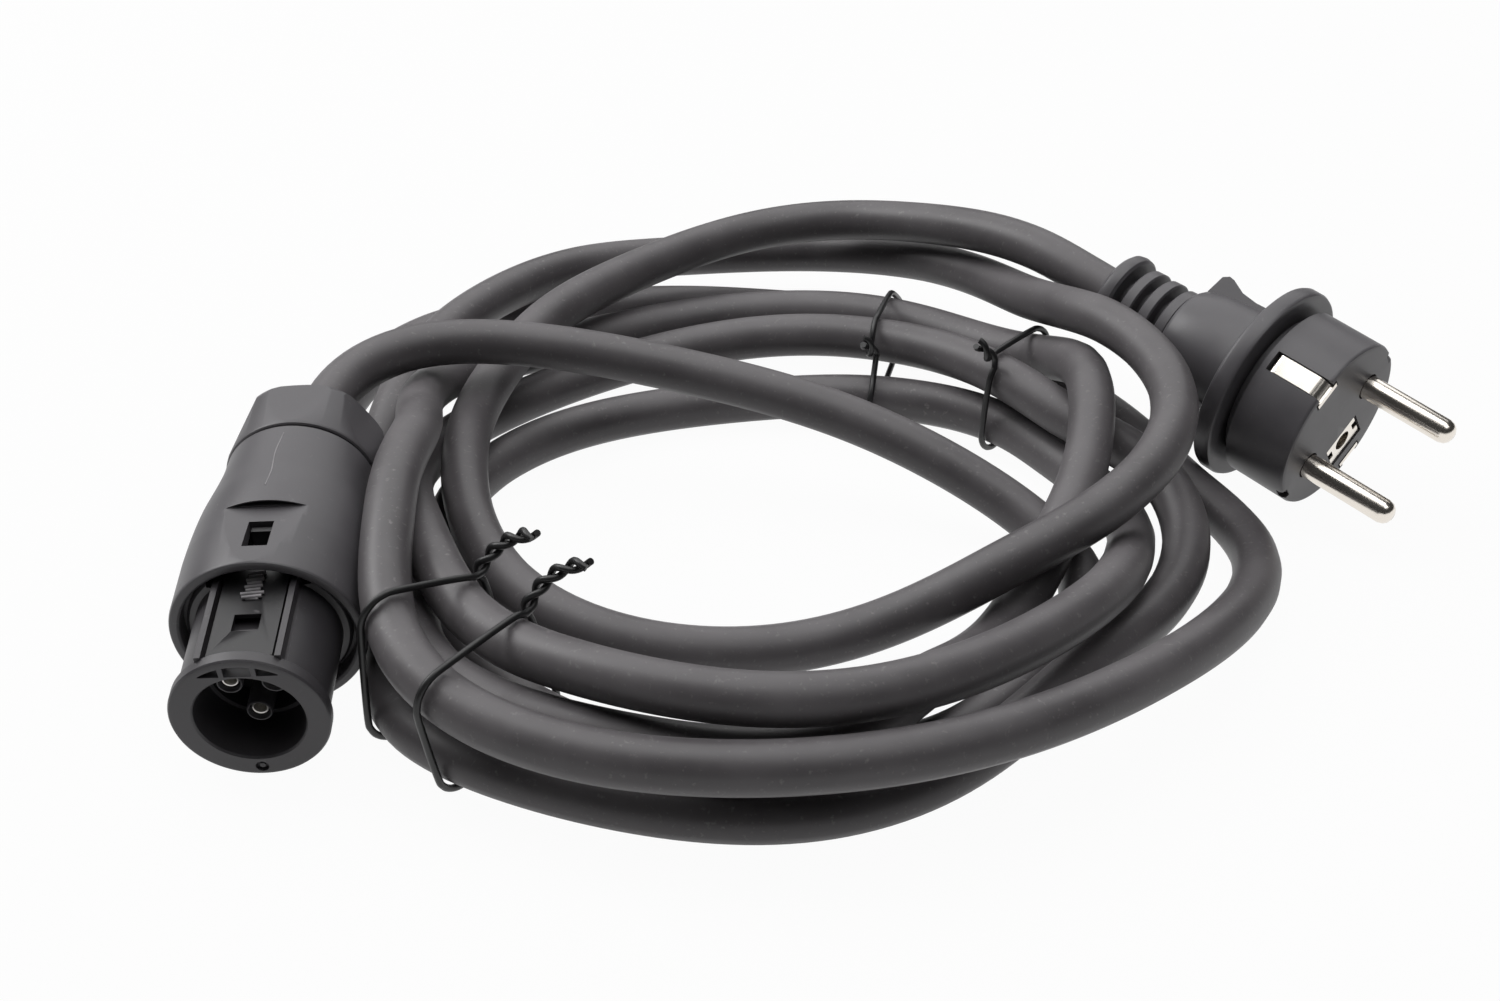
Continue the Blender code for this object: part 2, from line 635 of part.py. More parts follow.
def ends_push(points, own):
    """Keeps the cable off the connector and the plug, but for the cable's own two ends."""
    push = keep_off(points, FACE, AXIS, [
        (0, RING_R), (SHELL_FRONT - 4, RING_R), (SHELL_FRONT - 1, SHELL_R), (SHELL_WAIST, SHELL_R),
        (SHELL_SEAM - 15, SEAM_R + 1.6), (SHELL_SEAM, NUT_R), (NOSE_END, NUT_R + 0.4),
    ], slice(0, own))
    return push + keep_off(points, PLUG_FACE, -AIM, [
        (0, PLUG_R), (PLUG_FRONT - 2, PLUG_R), (PLUG_FRONT, COLLAR_R), (PLUG_FRONT + COLLAR_LONG, COLLAR_R),
        (PLUG_FRONT + COLLAR_LONG + 3, WING[0] + 1), (GRIP_END, WING[0]), (RELIEF_END, BEAD_R),
    ], slice(-own, None))


def settle(points, start_fixed, end_fixed, rounds=300):
    """Lets the turns push each other apart, keep off the connector and lie on the floor."""
    p = points.copy()
    least = CABLE_D + CABLE_GAP
    first, second = np.triu_indices(len(p), int(1.5 * least / POINT_STEP) + 5)
    free = slice(start_fixed, len(p) - end_fixed)
    for turn in range(rounds):
        if turn % 20 == 0:
            close = np.linalg.norm(p[second] - p[first], axis=1) < least + 6
            i, j = first[close], second[close]
        apart = p[j] - p[i]
        far = np.linalg.norm(apart, axis=1)
        shove = apart * (np.maximum(least - far, 0) / np.maximum(far, 1e-6) * 0.25)[:, None]
        push = 0.5 * ends_push(p, start_fixed + 9)
        np.add.at(push, i, -shove)
        np.add.at(push, j, shove)
        push *= np.minimum(1, 1 / np.maximum(np.linalg.norm(push, axis=1), 1e-9))[:, None]
        push[2:-2] += (-p[:-4] + 4 * p[1:-3] - 6 * p[2:-2] + 4 * p[3:-1] - p[4:]) / 32
        p[free] += push[free]
        p[free, 2] = np.maximum(p[free, 2], floor_height(p)[free])
    return p


def near_pairs(points):
    """Each two stretches that don't follow each other: their places, shares and the way between them."""
    along = lengths(points)
    i, j = np.triu_indices(len(points) - 1, 1)
    apart = along[j] - along[i + 1] > 2.5 * CABLE_D
    i, j = i[apart], j[apart]
    u = points[i + 1] - points[i]
    v = points[j + 1] - points[j]
    w = points[i] - points[j]
    uu, uv, vv, uw, vw = [(a * b).sum(1) for a, b in ((u, u), (u, v), (v, v), (u, w), (v, w))]
    s = np.clip((uv * vw - vv * uw) / np.maximum(uu * vv - uv ** 2, 1e-9), 0, 1)
    t = np.clip((uv * s + vw) / vv, 0, 1)
    s = np.clip((uv * t - uw) / uu, 0, 1)
    way = w + u * s[:, None] - v * t[:, None]
    return i, j, s[:, None], t[:, None], way, np.linalg.norm(way, axis=1)


def least_gap(points):
    return near_pairs(points)[-1].min() - CABLE_D


def spread(points, held, least, rounds=60):
    """Opens the last tight places of the line as built, leaving its held points where they are."""
    p = points.copy()
    free = np.setdiff1d(np.arange(len(p)), held)
    for _ in range(rounds):
        i, j, s, t, way, far = near_pairs(p)
        shove = way / far[:, None] * np.maximum(least - far, 0)[:, None] * 0.4
        push = np.zeros_like(p)
        np.add.at(push, i, shove * (1 - s))
        np.add.at(push, i + 1, shove * s)
        np.add.at(push, j, -shove * (1 - t))
        np.add.at(push, j + 1, -shove * t)
        p[free] += push[free] + 0.5 * ends_push(p, LEAD_OWN)[free]
        p[free, 2] = np.maximum(p[free, 2], floor_height(p)[free])
    return p


raw = smooth_curve(LEAD_ROUTE + station_points() + PLUG_ROUTE, 4000)
straight = np.linalg.norm(np.array(LEAD_ROUTE[1]) - np.array(LEAD_ROUTE[0]))
plug_straight = RELIEF_END + 9.0 - SHEATH_END
count = int(round(lengths(raw)[-1] / POINT_STEP)) + 1
raw = at_lengths(raw, np.linspace(0, lengths(raw)[-1], count))
start_fixed = int(straight / POINT_STEP) + 1
end_fixed = int(plug_straight / POINT_STEP) + 1
for i in range(start_fixed):
    raw[i] = np.array(LEAD_ROUTE[0]) + AXIS * POINT_STEP * i
for i in range(end_fixed):
    raw[-1 - i] = np.array(PLUG_ROUTE[-1]) - AIM * POINT_STEP * i
line = settle(raw, start_fixed, end_fixed)


# Cable: connector lead, coil and plug lead, meeting end to end

def nearest_length(point):
    return lengths(line)[np.linalg.norm(line - np.array(point), axis=1).argmin()]


def stretch(start, end, pieces, cut_start, cut_end):
    """Points from one distance to another, set out by half their chord's sag, the cut ends straight."""
    points = at_lengths(line, np.linspace(start, end, pieces + 1))
    points[1:-1] -= (points[:-2] - 2 * points[1:-1] + points[2:]) / 16
    for cut, place, side in ((cut_start, start, 1), (cut_end, end, -1)):
        if cut:
            middle, beside = at_lengths(line, np.array([place, place + 0.5]))
            way = (beside - middle) / np.linalg.norm(beside - middle) * side
            ends = [middle + way * CLEAR / 2, middle + way * (CLEAR / 2 + CABLE_D)]
            points = np.vstack([ends, points[1:]] if side > 0 else [points[:-1], ends[::-1]])
    return points


along = lengths(line)
coil_start = nearest_length(station_points()[0])
coil_end = nearest_length(station_points()[-1])
lead_bend = along[start_fixed - 1]
tail_bend = along[-end_fixed]
lead_count = round((coil_start - lead_bend) / (2.2 * CABLE_D))
tail_count = round((tail_bend - coil_end) / (2.2 * CABLE_D))
coil_count = round(POINTS_PER_TURN * (len(STATIONS) - 1) / 8)
lead_points = np.vstack([line[:1], stretch(lead_bend, coil_start, lead_count, False, True)])
coil_points = stretch(coil_start, coil_end, coil_count, True, True)
tail_points = np.vstack([stretch(coil_end, tail_bend, tail_count, True, False), line[-1:]])
joints = np.cumsum([len(lead_points), len(coil_points), len(tail_points)])
held = [0, 1] + [cut + side for cut in joints[:2] for side in (-2, -1, 0, 1)] + [joints[2] - 2, joints[2] - 1]
whole = spread(np.vstack([lead_points, coil_points, tail_points]), held, CABLE_D + 0.65)
lead_points, coil_points, tail_points = np.split(whole, joints[:2])
print("cable length", round(along[-1]), "least gap", round(least_gap(line), 2))
print("least gap as built", round(least_gap(whole), 2))
dress(tube("cable_connector_lead", lead_points, CABLE_R, 2), RUBBER)
dress(tube("cable_plug_lead", tail_points, CABLE_R, 2), RUBBER)
coil = meshed(tube("cable_coil", coil_points, CABLE_R, 1))
reach = 400.0
combine(coil, [block("floor_cut", (-reach, reach), (-reach, reach), (-20.0, 0.0))])
dress(coil, RUBBER)


# Wire ties: one wire round the strands it holds, its two ends twisted together

def strands_at(degrees, least, most):
    """Reach and height of each strand that crosses the half plane at this angle."""
    angle = math.radians(degrees)
    way = np.array([math.cos(angle), math.sin(angle)])
    flat = coil_points[:, :2] - np.array(COIL_AT)
    side = flat @ np.array([-way[1], way[0]])
    found = []
    for i in range(len(coil_points) - 1):
        if side[i] * side[i + 1] < 0:
            share = side[i] / (side[i] - side[i + 1])
            point = coil_points[i] * (1 - share) + coil_points[i + 1] * share
            reach_here = (point[:2] - np.array(COIL_AT)) @ way
            if least < reach_here < most:
                found.append((reach_here, point[2]))
    return np.array(found)


def tie_points(degrees, least, most, tail):
    angle = math.radians(degrees)
    radial = np.array([math.cos(angle), math.sin(angle), 0.0])
    along_cable = np.array([-radial[1], radial[0], 0.0])
    upward = np.array([0.0, 0.0, 1.0])
    middle = np.array([COIL_AT[0], COIL_AT[1], 0.0])
    held = strands_at(degrees, least, most)
    off = CABLE_R + TIE_R + 0.45
    knot = 2.2
    loop = []
    for k in range(31):
        turn = knot + 0.2 + (2 * math.pi - 0.4) * k / 30
        out = np.array([math.cos(turn), math.sin(turn)])
        spot = held[(held @ out).argmax()] + off * out
        loop.append(middle + radial * spot[0] + upward * spot[1] + along_cable * (2.0 * k / 30 - 1.0))
    away = radial * math.cos(knot) + upward * math.sin(knot)
    base = (loop[0] + loop[-1]) / 2 + away * 0.8
    cross = np.cross(away, along_cable)
    ends = []
    for start in (math.pi, 0.0):
        end = []
        for k in range(1, 13):
            share = tail * k / 12
            bend = 1.3 * share
            spine = base + 11.0 * (math.sin(bend) * away + (1 - math.cos(bend)) * along_cable)
            sideways = math.cos(bend) * along_cable - math.sin(bend) * away
            phase = start + 4.5 * share
            end.append(spine + 1.0 * (math.cos(phase) * sideways + math.sin(phase) * cross))
        ends.append(end)
    return ends[0][::-1] + loop + ends[1]


for name, values in TIES.items():
    dress(tube(name, tie_points(*values), TIE_R, 1), WIRE)

# Core ends inside the connector, from the cut sheath to the terminals
for role, (x, z) in CONTACTS.items():
    fan = 0.5
    route = [(x * fan, SHEATH_START - CLEAR, z * fan), (x * fan, SHEATH_START - 2.0, z * fan),
             (x, CARRIER_END + 4.0, z), (x, TERMINAL_FRONT + 4.0, z)]
    dress(tube(f"connector_core_{role}", route, CORE_R, 1), CORES[role], connector)

# Plug front body: round hard moulding with pin holes, side slots and the earth pocket
plug_body = lathe("plug_body", [
    (0.0, 0.0),
    (PLUG_R - 0.8, 0.0),
    (PLUG_R, 0.8),
    (PLUG_R, PLUG_FRONT - 1.5),
    (PLUG_R - 1.2, PLUG_FRONT - 1.5),
    (PLUG_R - 1.2, PLUG_FRONT),
    (0.0, PLUG_FRONT),
], 44, ring=False)
pin_spots = {"line": -PIN_APART / 2, "neutral": PIN_APART / 2}
cuts = [rod(f"pin_hole_{role}", PIN_R + CLEAR, (x, -1.0, 0.0), (x, PLUG_FRONT + 1, 0.0), 18)
        for role, x in pin_spots.items()]
clip_floor = PLUG_R - 3.0
for side in (-1, 1):
    high = sorted((side * clip_floor, side * (PLUG_R + 1)))
    cuts.append(block(f"clip_slot_{side}", (-CLIP_SLOT, CLIP_SLOT), (-1.0, PLUG_FRONT - 3.0), high))
    notch = sorted((side * (PLUG_R - 1.3), side * (PLUG_R + 1)))
    cuts.append(block(f"notch_{side}", notch, (-1.0, 1.6), (-1.4, 1.4)))
plate_wide, plate_high, plate_down, plate_thick = PLATE
cuts.append(block("earth_pocket", (-plate_wide / 2 - CLEAR, plate_wide / 2 + CLEAR), (-1.0, 7.0),
                  (-plate_down - plate_high / 2 - CLEAR, -plate_down + plate_high / 2 + CLEAR)))
cuts.append(rod("earth_way", CORE_R + 0.6 + CLEAR, (0.0, 6.0, -plate_down),
                (0.0, PLUG_FRONT + 1, -plate_down), 14))
combine(plug_body, cuts)
dress(plug_body, GREY, plug)

# Pins with a round nose and a crimp cup at the rear
for role, x in pin_spots.items():
    pin = lathe(f"{role}_pin", [
        (0.0, -PIN_LONG),
        (PIN_R * 0.5, -PIN_LONG),
        (PIN_R, -PIN_LONG + 1.4),
        (PIN_R, PIN_IN),
        (CORE_R + CLEAR, PIN_IN),
        (CORE_R + CLEAR, PIN_IN - 4.0),
        (0.0, PIN_IN - 4.0),
    ], 18, ring=False)
    pin.data.transform(Matrix.Translation(Vector((x, 0.0, 0.0)) * MM))
    dress(pin, NICKEL, plug)

# Side earth clips: bowed strips in the slots
for name, side in (("earth_clip_upper", 1), ("earth_clip_lower", -1)):
    bow = [(PLUG_FRONT - 3.4, clip_floor + 0.4), (PLUG_FRONT - 4.6, PLUG_R - 1.3),
           (PLUG_FRONT - 6.5, PLUG_R - 0.7), (4.0, PLUG_R - 0.7), (2.4, PLUG_R - 1.6), (0.4, PLUG_R - 1.9)]
    under = [(y, z - CLIP_THICK) for y, z in bow[::-1][:-1]]
    bm = bmesh.new()
    face = bm.faces.new([bm.verts.new((-CLIP_HALF, y, side * z)) for y, z in bow + under])
    pushed = bmesh.ops.extrude_face_region(bm, geom=[face])["geom"]
    moved = [item for item in pushed if isinstance(item, bmesh.types.BMVert)]
    bmesh.ops.translate(bm, verts=moved, vec=(2 * CLIP_HALF, 0, 0))
    dress(store(name, bm), NICKEL, plug, smooth=False)

# Earth socket plate with its hole and a crimp tail
plate = block("earth_plate", (-plate_wide / 2, plate_wide / 2), (0.4, 0.4 + plate_thick),
              (-plate_down - plate_high / 2, -plate_down + plate_high / 2))
sleeve = rod("sleeve", EARTH_HOLE_R + 0.7, (0.0, 0.4 + plate_thick / 2, -plate_down),
             (0.0, 6.6, -plate_down), 16)
combine(plate, [sleeve], "UNION")
combine(plate, [rod("earth_hole", EARTH_HOLE_R, (0.0, -1.0, -plate_down), (0.0, 5.0, -plate_down), 16)])
dress(plate, NICKEL, plug)

# Grip: collar, waisted handle with two wings, hollow for the cores
grip_front = PLUG_FRONT + CLEAR
collar_end = grip_front + COLLAR_LONG
wing_x, wing_low, wing_high, wing_half = WING
grip = lathe("plug_grip", [
    (PIN_APART / 2 + 2.2, grip_front),
    (COLLAR_R - 1.2, grip_front),
    (COLLAR_R, grip_front + 1.0),
    (COLLAR_R, collar_end - 1.0),
    (COLLAR_R - 1.2, collar_end),
    (GRIP_R + 1.5, collar_end + 0.4),
    (GRIP_R, collar_end + 2.0),
    (GRIP_R - 0.5, wing_high - 4.0),
    (GRIP_END_R, GRIP_END),
    (CABLE_R + CLEAR, GRIP_END),
    (CABLE_R + CLEAR, GRIP_END - 3.0),
    (GRIP_R - 3.5, GRIP_END - 6.0),
    (GRIP_R - 3.5, grip_front + 7.0),
    (PIN_APART / 2 + 2.2, grip_front + 3.2),
], 44)
wings = []
for side in (-1, 1):
    spots = sorted((side * (GRIP_R - 2.6), side * wing_x))
    wings.append(block(f"wing_{side}", spots, (wing_low, wing_high), (-wing_half, wing_half), 0.8))
combine(grip, wings, "UNION")
dress(grip, GREY, plug)

# Strain relief: ribbed sleeve with an end bead
relief_start = GRIP_END + CLEAR
pitch = (RELIEF_END - 3.0 - relief_start) / RELIEF_RIBS
ribs = [(CABLE_R + CLEAR, relief_start)]
for k in range(RELIEF_RIBS):
    low = relief_start + pitch * k
    ribs += [(RELIEF_R, low), (RELIEF_R - 0.2, low + pitch * 0.62), (RELIEF_R - 1.9, low + pitch * 0.66),
             (RELIEF_R - 1.9, low + pitch)]
ribs += [(BEAD_R - 0.5, RELIEF_END - 3.0), (BEAD_R, RELIEF_END - 2.0), (BEAD_R - 0.8, RELIEF_END - 0.3),
         (BEAD_R - 1.8, RELIEF_END), (CABLE_R + CLEAR, RELIEF_END)]
dress(lathe("strain_relief", ribs, 32), GREY, plug)

# Core ends inside the plug, from the cut sheath to the pins and the earth plate
targets = {"line": (-PIN_APART / 2, 0.0, PIN_IN - 3.5), "neutral": (PIN_APART / 2, 0.0, PIN_IN - 3.5),
           "earth": (0.0, -plate_down, 7.2)}
for role, (x, z, end) in targets.items():
    fan = 2.4 / math.hypot(x, z)
    route = [(x * fan, SHEATH_END - CLEAR, z * fan), (x * fan, SHEATH_END - 4.0, z * fan),
             (x * 0.6, PLUG_FRONT + 6.5, z * 0.6), (x, PLUG_FRONT + 2.0, z), (x, end, z)]
    dress(tube(f"plug_core_{role}", route, CORE_R, 1), CORES[role], plug)

bpy.context.view_layer.update()
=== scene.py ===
"""Dresses a packed field connector, its coiled cord and its earthed plug for a plain studio picture."""

import math

import bmesh
import bpy
import numpy as np
from mathutils import Matrix, Vector


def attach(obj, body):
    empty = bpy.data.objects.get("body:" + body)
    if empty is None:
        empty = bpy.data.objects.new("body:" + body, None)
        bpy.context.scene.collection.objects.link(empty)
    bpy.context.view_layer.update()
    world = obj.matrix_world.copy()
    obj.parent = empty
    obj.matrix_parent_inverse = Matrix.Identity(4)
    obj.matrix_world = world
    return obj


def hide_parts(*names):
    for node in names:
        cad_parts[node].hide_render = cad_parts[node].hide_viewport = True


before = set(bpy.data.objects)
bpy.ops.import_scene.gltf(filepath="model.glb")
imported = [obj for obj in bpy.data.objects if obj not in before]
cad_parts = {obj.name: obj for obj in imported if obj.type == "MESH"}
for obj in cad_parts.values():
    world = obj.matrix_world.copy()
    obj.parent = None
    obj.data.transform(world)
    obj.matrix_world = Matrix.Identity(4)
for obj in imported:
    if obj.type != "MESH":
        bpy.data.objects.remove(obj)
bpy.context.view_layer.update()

# Studio: a pale paper sweep under a broad overhead softbox, with others behind, at the back left
# and high in front. The paper reads as white in the picture and in bright metal, and it still takes
# a little of the object's shadow.
MM = 0.001


def feed(tree, node, inputs):
    """Sets a node's inputs. Each is a plain value or the socket that feeds it."""
    for name, value in dict(inputs).items():
        if isinstance(value, bpy.types.NodeSocket):
            tree.links.new(value, node.inputs[name])
        else:
            node.inputs[name].default_value = value


def add(tree, kind, inputs=(), **settings):
    """One new node with its settings and inputs."""
    node = tree.nodes.new(kind)
    for name, value in settings.items():
        setattr(node, name, value)
    feed(tree, node, inputs)
    return node


def linear(code):
    """An sRGB hex colour as linear light."""
    parts = [int(code[i:i + 2], 16) / 255 for i in (0, 2, 4)]
    return (*[p / 12.92 if p <= 0.04045 else ((p + 0.055) / 1.055) ** 2.4 for p in parts], 1.0)


scene = bpy.context.scene
scene.view_settings.view_transform = "Standard"
lens = bpy.data.cameras.new("camera")
lens.sensor_fit = "HORIZONTAL"
lens.sensor_width = 36.0
lens.lens = 55.2
lens.clip_start = 0.01
camera = bpy.data.objects.new("camera", lens)
camera.location = (79.7 * MM, -330.23 * MM, 231.7 * MM)
camera.rotation_euler = (math.radians(58.9), 0.0, 0.0)
scene.collection.objects.link(camera)
scene.camera = camera

# Place and size in metres, and power in watts
SOFTBOXES = {
    "overhead_softbox": ((0.05, 0.12, 1.10), (0.9, 0.8), 6.5),
    "back_softbox": ((0.05, 0.95, 0.80), (1.8, 0.9), 8.0),
    "left_softbox": ((-0.80, 0.40, 0.85), (0.6, 0.7), 9.0),
    "front_softbox": ((0.50, -0.40, 1.05), (0.6, 0.5), 2.0),
}
LIT_SPOT = Vector((0.09, 0.03, 0.0))
for name, (place, size, watts) in SOFTBOXES.items():
    lamp = bpy.data.lights.new(name, "AREA")
    lamp.shape = "RECTANGLE"
    lamp.size, lamp.size_y = size
    lamp.energy = watts
    box = bpy.data.objects.new(name, lamp)
    box.location = place
    box.rotation_euler = (LIT_SPOT - Vector(place)).to_track_quat("-Z", "Y").to_euler()
    scene.collection.objects.link(box)


def ray_share(tree, *kinds):
    """1 for rays of the named kinds, 0 for the rest."""
    path = add(tree, "ShaderNodeLightPath")
    share = path.outputs[kinds[0]]
    for kind in kinds[1:]:
        larger = add(tree, "ShaderNodeMath", {0: share, 1: path.outputs[kind]}, operation="MAXIMUM")
        share = larger.outputs[0]
    return share


sky = bpy.data.worlds.new("studio_air")
sky.use_nodes = True
air = sky.node_tree
air.nodes.clear()
dim = add(air, "ShaderNodeBackground", {"Color": linear("ffffff"), "Strength": 0.04})
paper_white = add(air, "ShaderNodeBackground", {"Color": linear("ffffff"), "Strength": 1.0})
seen = ray_share(air, "Is Camera Ray", "Is Transmission Ray")
air_mix = add(air, "ShaderNodeMixShader", {0: seen, 1: dim.outputs[0], 2: paper_white.outputs[0]})
add(air, "ShaderNodeOutputWorld", {"Surface": air_mix.outputs[0]})
scene.world = sky

bm = bmesh.new()
bmesh.ops.create_grid(bm, x_segments=1, y_segments=1, size=4.0)
sheet = bpy.data.meshes.new("paper_floor")
bm.to_mesh(sheet)
bm.free()
paper_floor = bpy.data.objects.new("paper_floor", sheet)
scene.collection.objects.link(paper_floor)
# Matt white paper: the small share that is not plain white is what takes the shadow
paper = bpy.data.materials.new("matt_white_paper")
paper.use_nodes = True
tree = paper.node_tree
tree.nodes.clear()
matt = add(tree, "ShaderNodeBsdfDiffuse", {"Color": linear("b8b8b8")})
glow = add(tree, "ShaderNodeEmission", {"Color": linear("ffffff"), "Strength": 1.0})
paper_rays = ray_share(tree, "Is Camera Ray", "Is Glossy Ray", "Is Transmission Ray")
share = add(tree, "ShaderNodeMath", {0: paper_rays, 1: 0.96}, operation="MULTIPLY")
floor_mix = add(tree, "ShaderNodeMixShader", {0: share.outputs[0], 1: matt.outputs[0], 2: glow.outputs[0]})
add(tree, "ShaderNodeOutputMaterial", {"Surface": floor_mix.outputs[0]})
sheet.materials.append(paper)

# Cable: about three metres of round rubber-sheathed three-core cord, laid by hand in six loose turns.
# It leaves the connector's gland nut, crosses into the coil and comes out at the back to the plug.
TILT = math.radians(10.0)
AXIS = np.array([0.0, math.cos(TILT), math.sin(TILT)])
FACE = np.array([0.0, -34.729, 12.747])
PLUG_FACE = np.array([191.5, 51.5, 18.0])
AIM = np.array([0.706, -0.684, -0.184])
AIM = AIM / np.linalg.norm(AIM)
CABLE_D = 8.8
CABLE_R = CABLE_D / 2
SHEATH_START = 50.4
NOSE_END = 77.6
RELIEF_END = 54.0
SHEATH_END = 40.0
PLUG_STRAIGHT = 9.0
COIL_AT = np.array([91.7, 29.77])
ROUTE_SAMPLES = 4000
POINT_STEP = 5.5
LINE_SAMPLES = 6000
DRAWN_STEP = 2.2
CABLE_GAP = 1.2
BODY_GAP = 0.9
# The wire under a tie lifts the cable, a little past the strands held and over a short length of it
TIE_LIFT = 2.1
TIE_PAST = 6
TIE_SPREAD = 12.0
# Rounds of settling, rounds between looks for close strands, and how far off a strand counts as close
ROUNDS = 300
LOOK_EVERY = 20
CLOSE_BY = 6
# How strongly strands push each other, bodies push the cable and the cable straightens itself
SHOVE = 0.25
NUDGE = 0.5
STRAIGHTEN = 1 / 32
# Points beyond the fixed ends that may touch the body they come out of, and near ones on one strand
OWN_POINTS = 9
NEAR_POINTS = 5
# Angle round the coil, least and most reach of the strands held, length of the twisted ends
TIES = {
    "tie_back_left": (77.0, 45.0, 95.0, 0.4),
    "tie_back_right": (50.0, 50.0, 73.0, 0.4),
    "tie_front_left": (-143.0, 58.0, 100.0, 1.0),
    "tie_front_right": (-131.0, 58.0, 100.0, 1.0),
}


def on_connector(along):
    return tuple(FACE + AXIS * along)


def on_plug(behind):
    return tuple(PLUG_FACE - AIM * behind)


LEAD_ROUTE = [
    on_connector(SHEATH_START), on_connector(NOSE_END),
    (6.7, 58.8, 26.5), (21.7, 64.8, 27.8), (42.7, 64.8, 27.8), (64.7, 59.8, 25.8),
    (88.7, 54.3, 22.0), (107.7, 47.8, 17.5), (123.7, 37.8, 11.5),
]
# Reach from the coil's middle and height at each eighth of a turn, clockwise, from its right side
STATIONS = [
    (46, 6.5), (54, 4.6), (66, 4.8), (72, 4.6), (71.5, 8.5), (64, 4.6), (56, 4.6), (58.5, 4.6),
    (62, 7), (60.5, 18), (75, 24), (80, 19), (74.5, 13.5), (81, 5.5), (71, 12.5), (60, 14),
    (64.5, 9.5), (60, 9), (77.5, 4.6), (88.5, 8), (93.5, 5), (115, 7), (96, 4.6), (78, 4.6),
    (81, 4.6), (75.8, 14), (83.5, 18.5), (88.5, 20.5), (78, 27), (87, 12), (86, 10.5), (67, 15),
    (48.4, 14.8), (45, 5), (74, 13.6), (81.5, 18.5), (80.5, 6.5), (103, 15), (118, 9.5), (75, 28),
    (64, 27.5), (37, 13), (31.5, 4.8), (51.5, 9.5), (64.5, 13), (82.5, 17.5),
]
PLUG_ROUTE = [
    (51.7, 112.8, 19.0), (75.7, 133.8, 20.0), (99.7, 138.8, 21.6), (117.7, 126.4, 25.6),
    (132.6, 109.4, 29.2), on_plug(RELIEF_END + PLUG_STRAIGHT), on_plug(SHEATH_END),
]
# Distance along the axis and radius of the two bodies that the cable lies beside
CONNECTOR_SHAPE = [(0, 13), (15, 13), (18, 16.4), (36, 16.4), (42.8, 14.8), (57.8, 13.6), (NOSE_END, 14)]
PLUG_SHAPE = [(0, 17.2), (13, 17.2), (15, 19.9), (19, 19.9), (22, 13.9), (40, 12.9), (RELIEF_END, 9)]


def smooth_curve(points, count):
    """A natural cubic spline through the points, at the given number of places."""
    p = np.array(points, float)
    knot = np.r_[0, np.cumsum(np.linalg.norm(np.diff(p, axis=0), axis=1) ** 0.5)]
    n = len(knot)
    h = np.diff(knot)
    system = np.eye(n)
    right = np.zeros_like(p)
    for i in range(1, n - 1):
        system[i, i - 1:i + 2] = (h[i - 1], 2 * (h[i - 1] + h[i]), h[i])
        right[i] = 6 * ((p[i + 1] - p[i]) / h[i] - (p[i] - p[i - 1]) / h[i - 1])
    bend = np.linalg.solve(system, right)
    at = np.linspace(0, knot[-1], count)
    k = np.clip(np.searchsorted(knot, at) - 1, 0, n - 2)
    before = (knot[k + 1] - at)[:, None]
    after = (at - knot[k])[:, None]
    wide = h[k][:, None]
    curved = (bend[k] * before ** 3 + bend[k + 1] * after ** 3) / (6 * wide)
    start = (p[k] / wide - bend[k] * wide / 6) * before
    end = (p[k + 1] / wide - bend[k + 1] * wide / 6) * after
    return curved + start + end


def even(points, step):
    """The same line with its points an even step apart."""
    along = np.r_[0, np.cumsum(np.linalg.norm(np.diff(points, axis=0), axis=1))]
    places = np.linspace(0, along[-1], int(round(along[-1] / step)) + 1)
    return np.stack([np.interp(places, along, points[:, i]) for i in range(3)], 1)


def floor_height(points):
    """The least height of the cable's middle: on the floor, and on the wire under each tie."""
    out = points[:, :2] - COIL_AT
    low = np.full(len(points), CABLE_R)
    for degrees, least, most, _ in TIES.values():
        way = np.array([math.cos(math.radians(degrees)), math.sin(math.radians(degrees))])
        across = out @ np.array([-way[1], way[0]])
        held = (out @ way > least - TIE_PAST) & (out @ way < most + TIE_PAST)
        lift = CABLE_R + TIE_LIFT - low
        low = low + np.where(held, lift * np.exp(-(across / TIE_SPREAD) ** 2), 0.0)
    return low


def keep_off(points, start, way, shape, own):
    """How far each point must move to keep the cable off a body of (along, radius) steps on an axis."""
    marks, radii = np.array(shape).T
    out = points - start
    along = out @ way
    away = out - along[:, None] * way
    reach = np.linalg.norm(away, axis=1)
    need = np.interp(along, marks, radii) + CABLE_R + BODY_GAP
    inside = (along > marks[0] - CABLE_R) & (along < marks[-1]) & (reach < need)
    inside[own] = False
    push = np.zeros_like(points)
    push[inside] = away[inside] / reach[inside, None] * (need - reach)[inside, None]
    return push


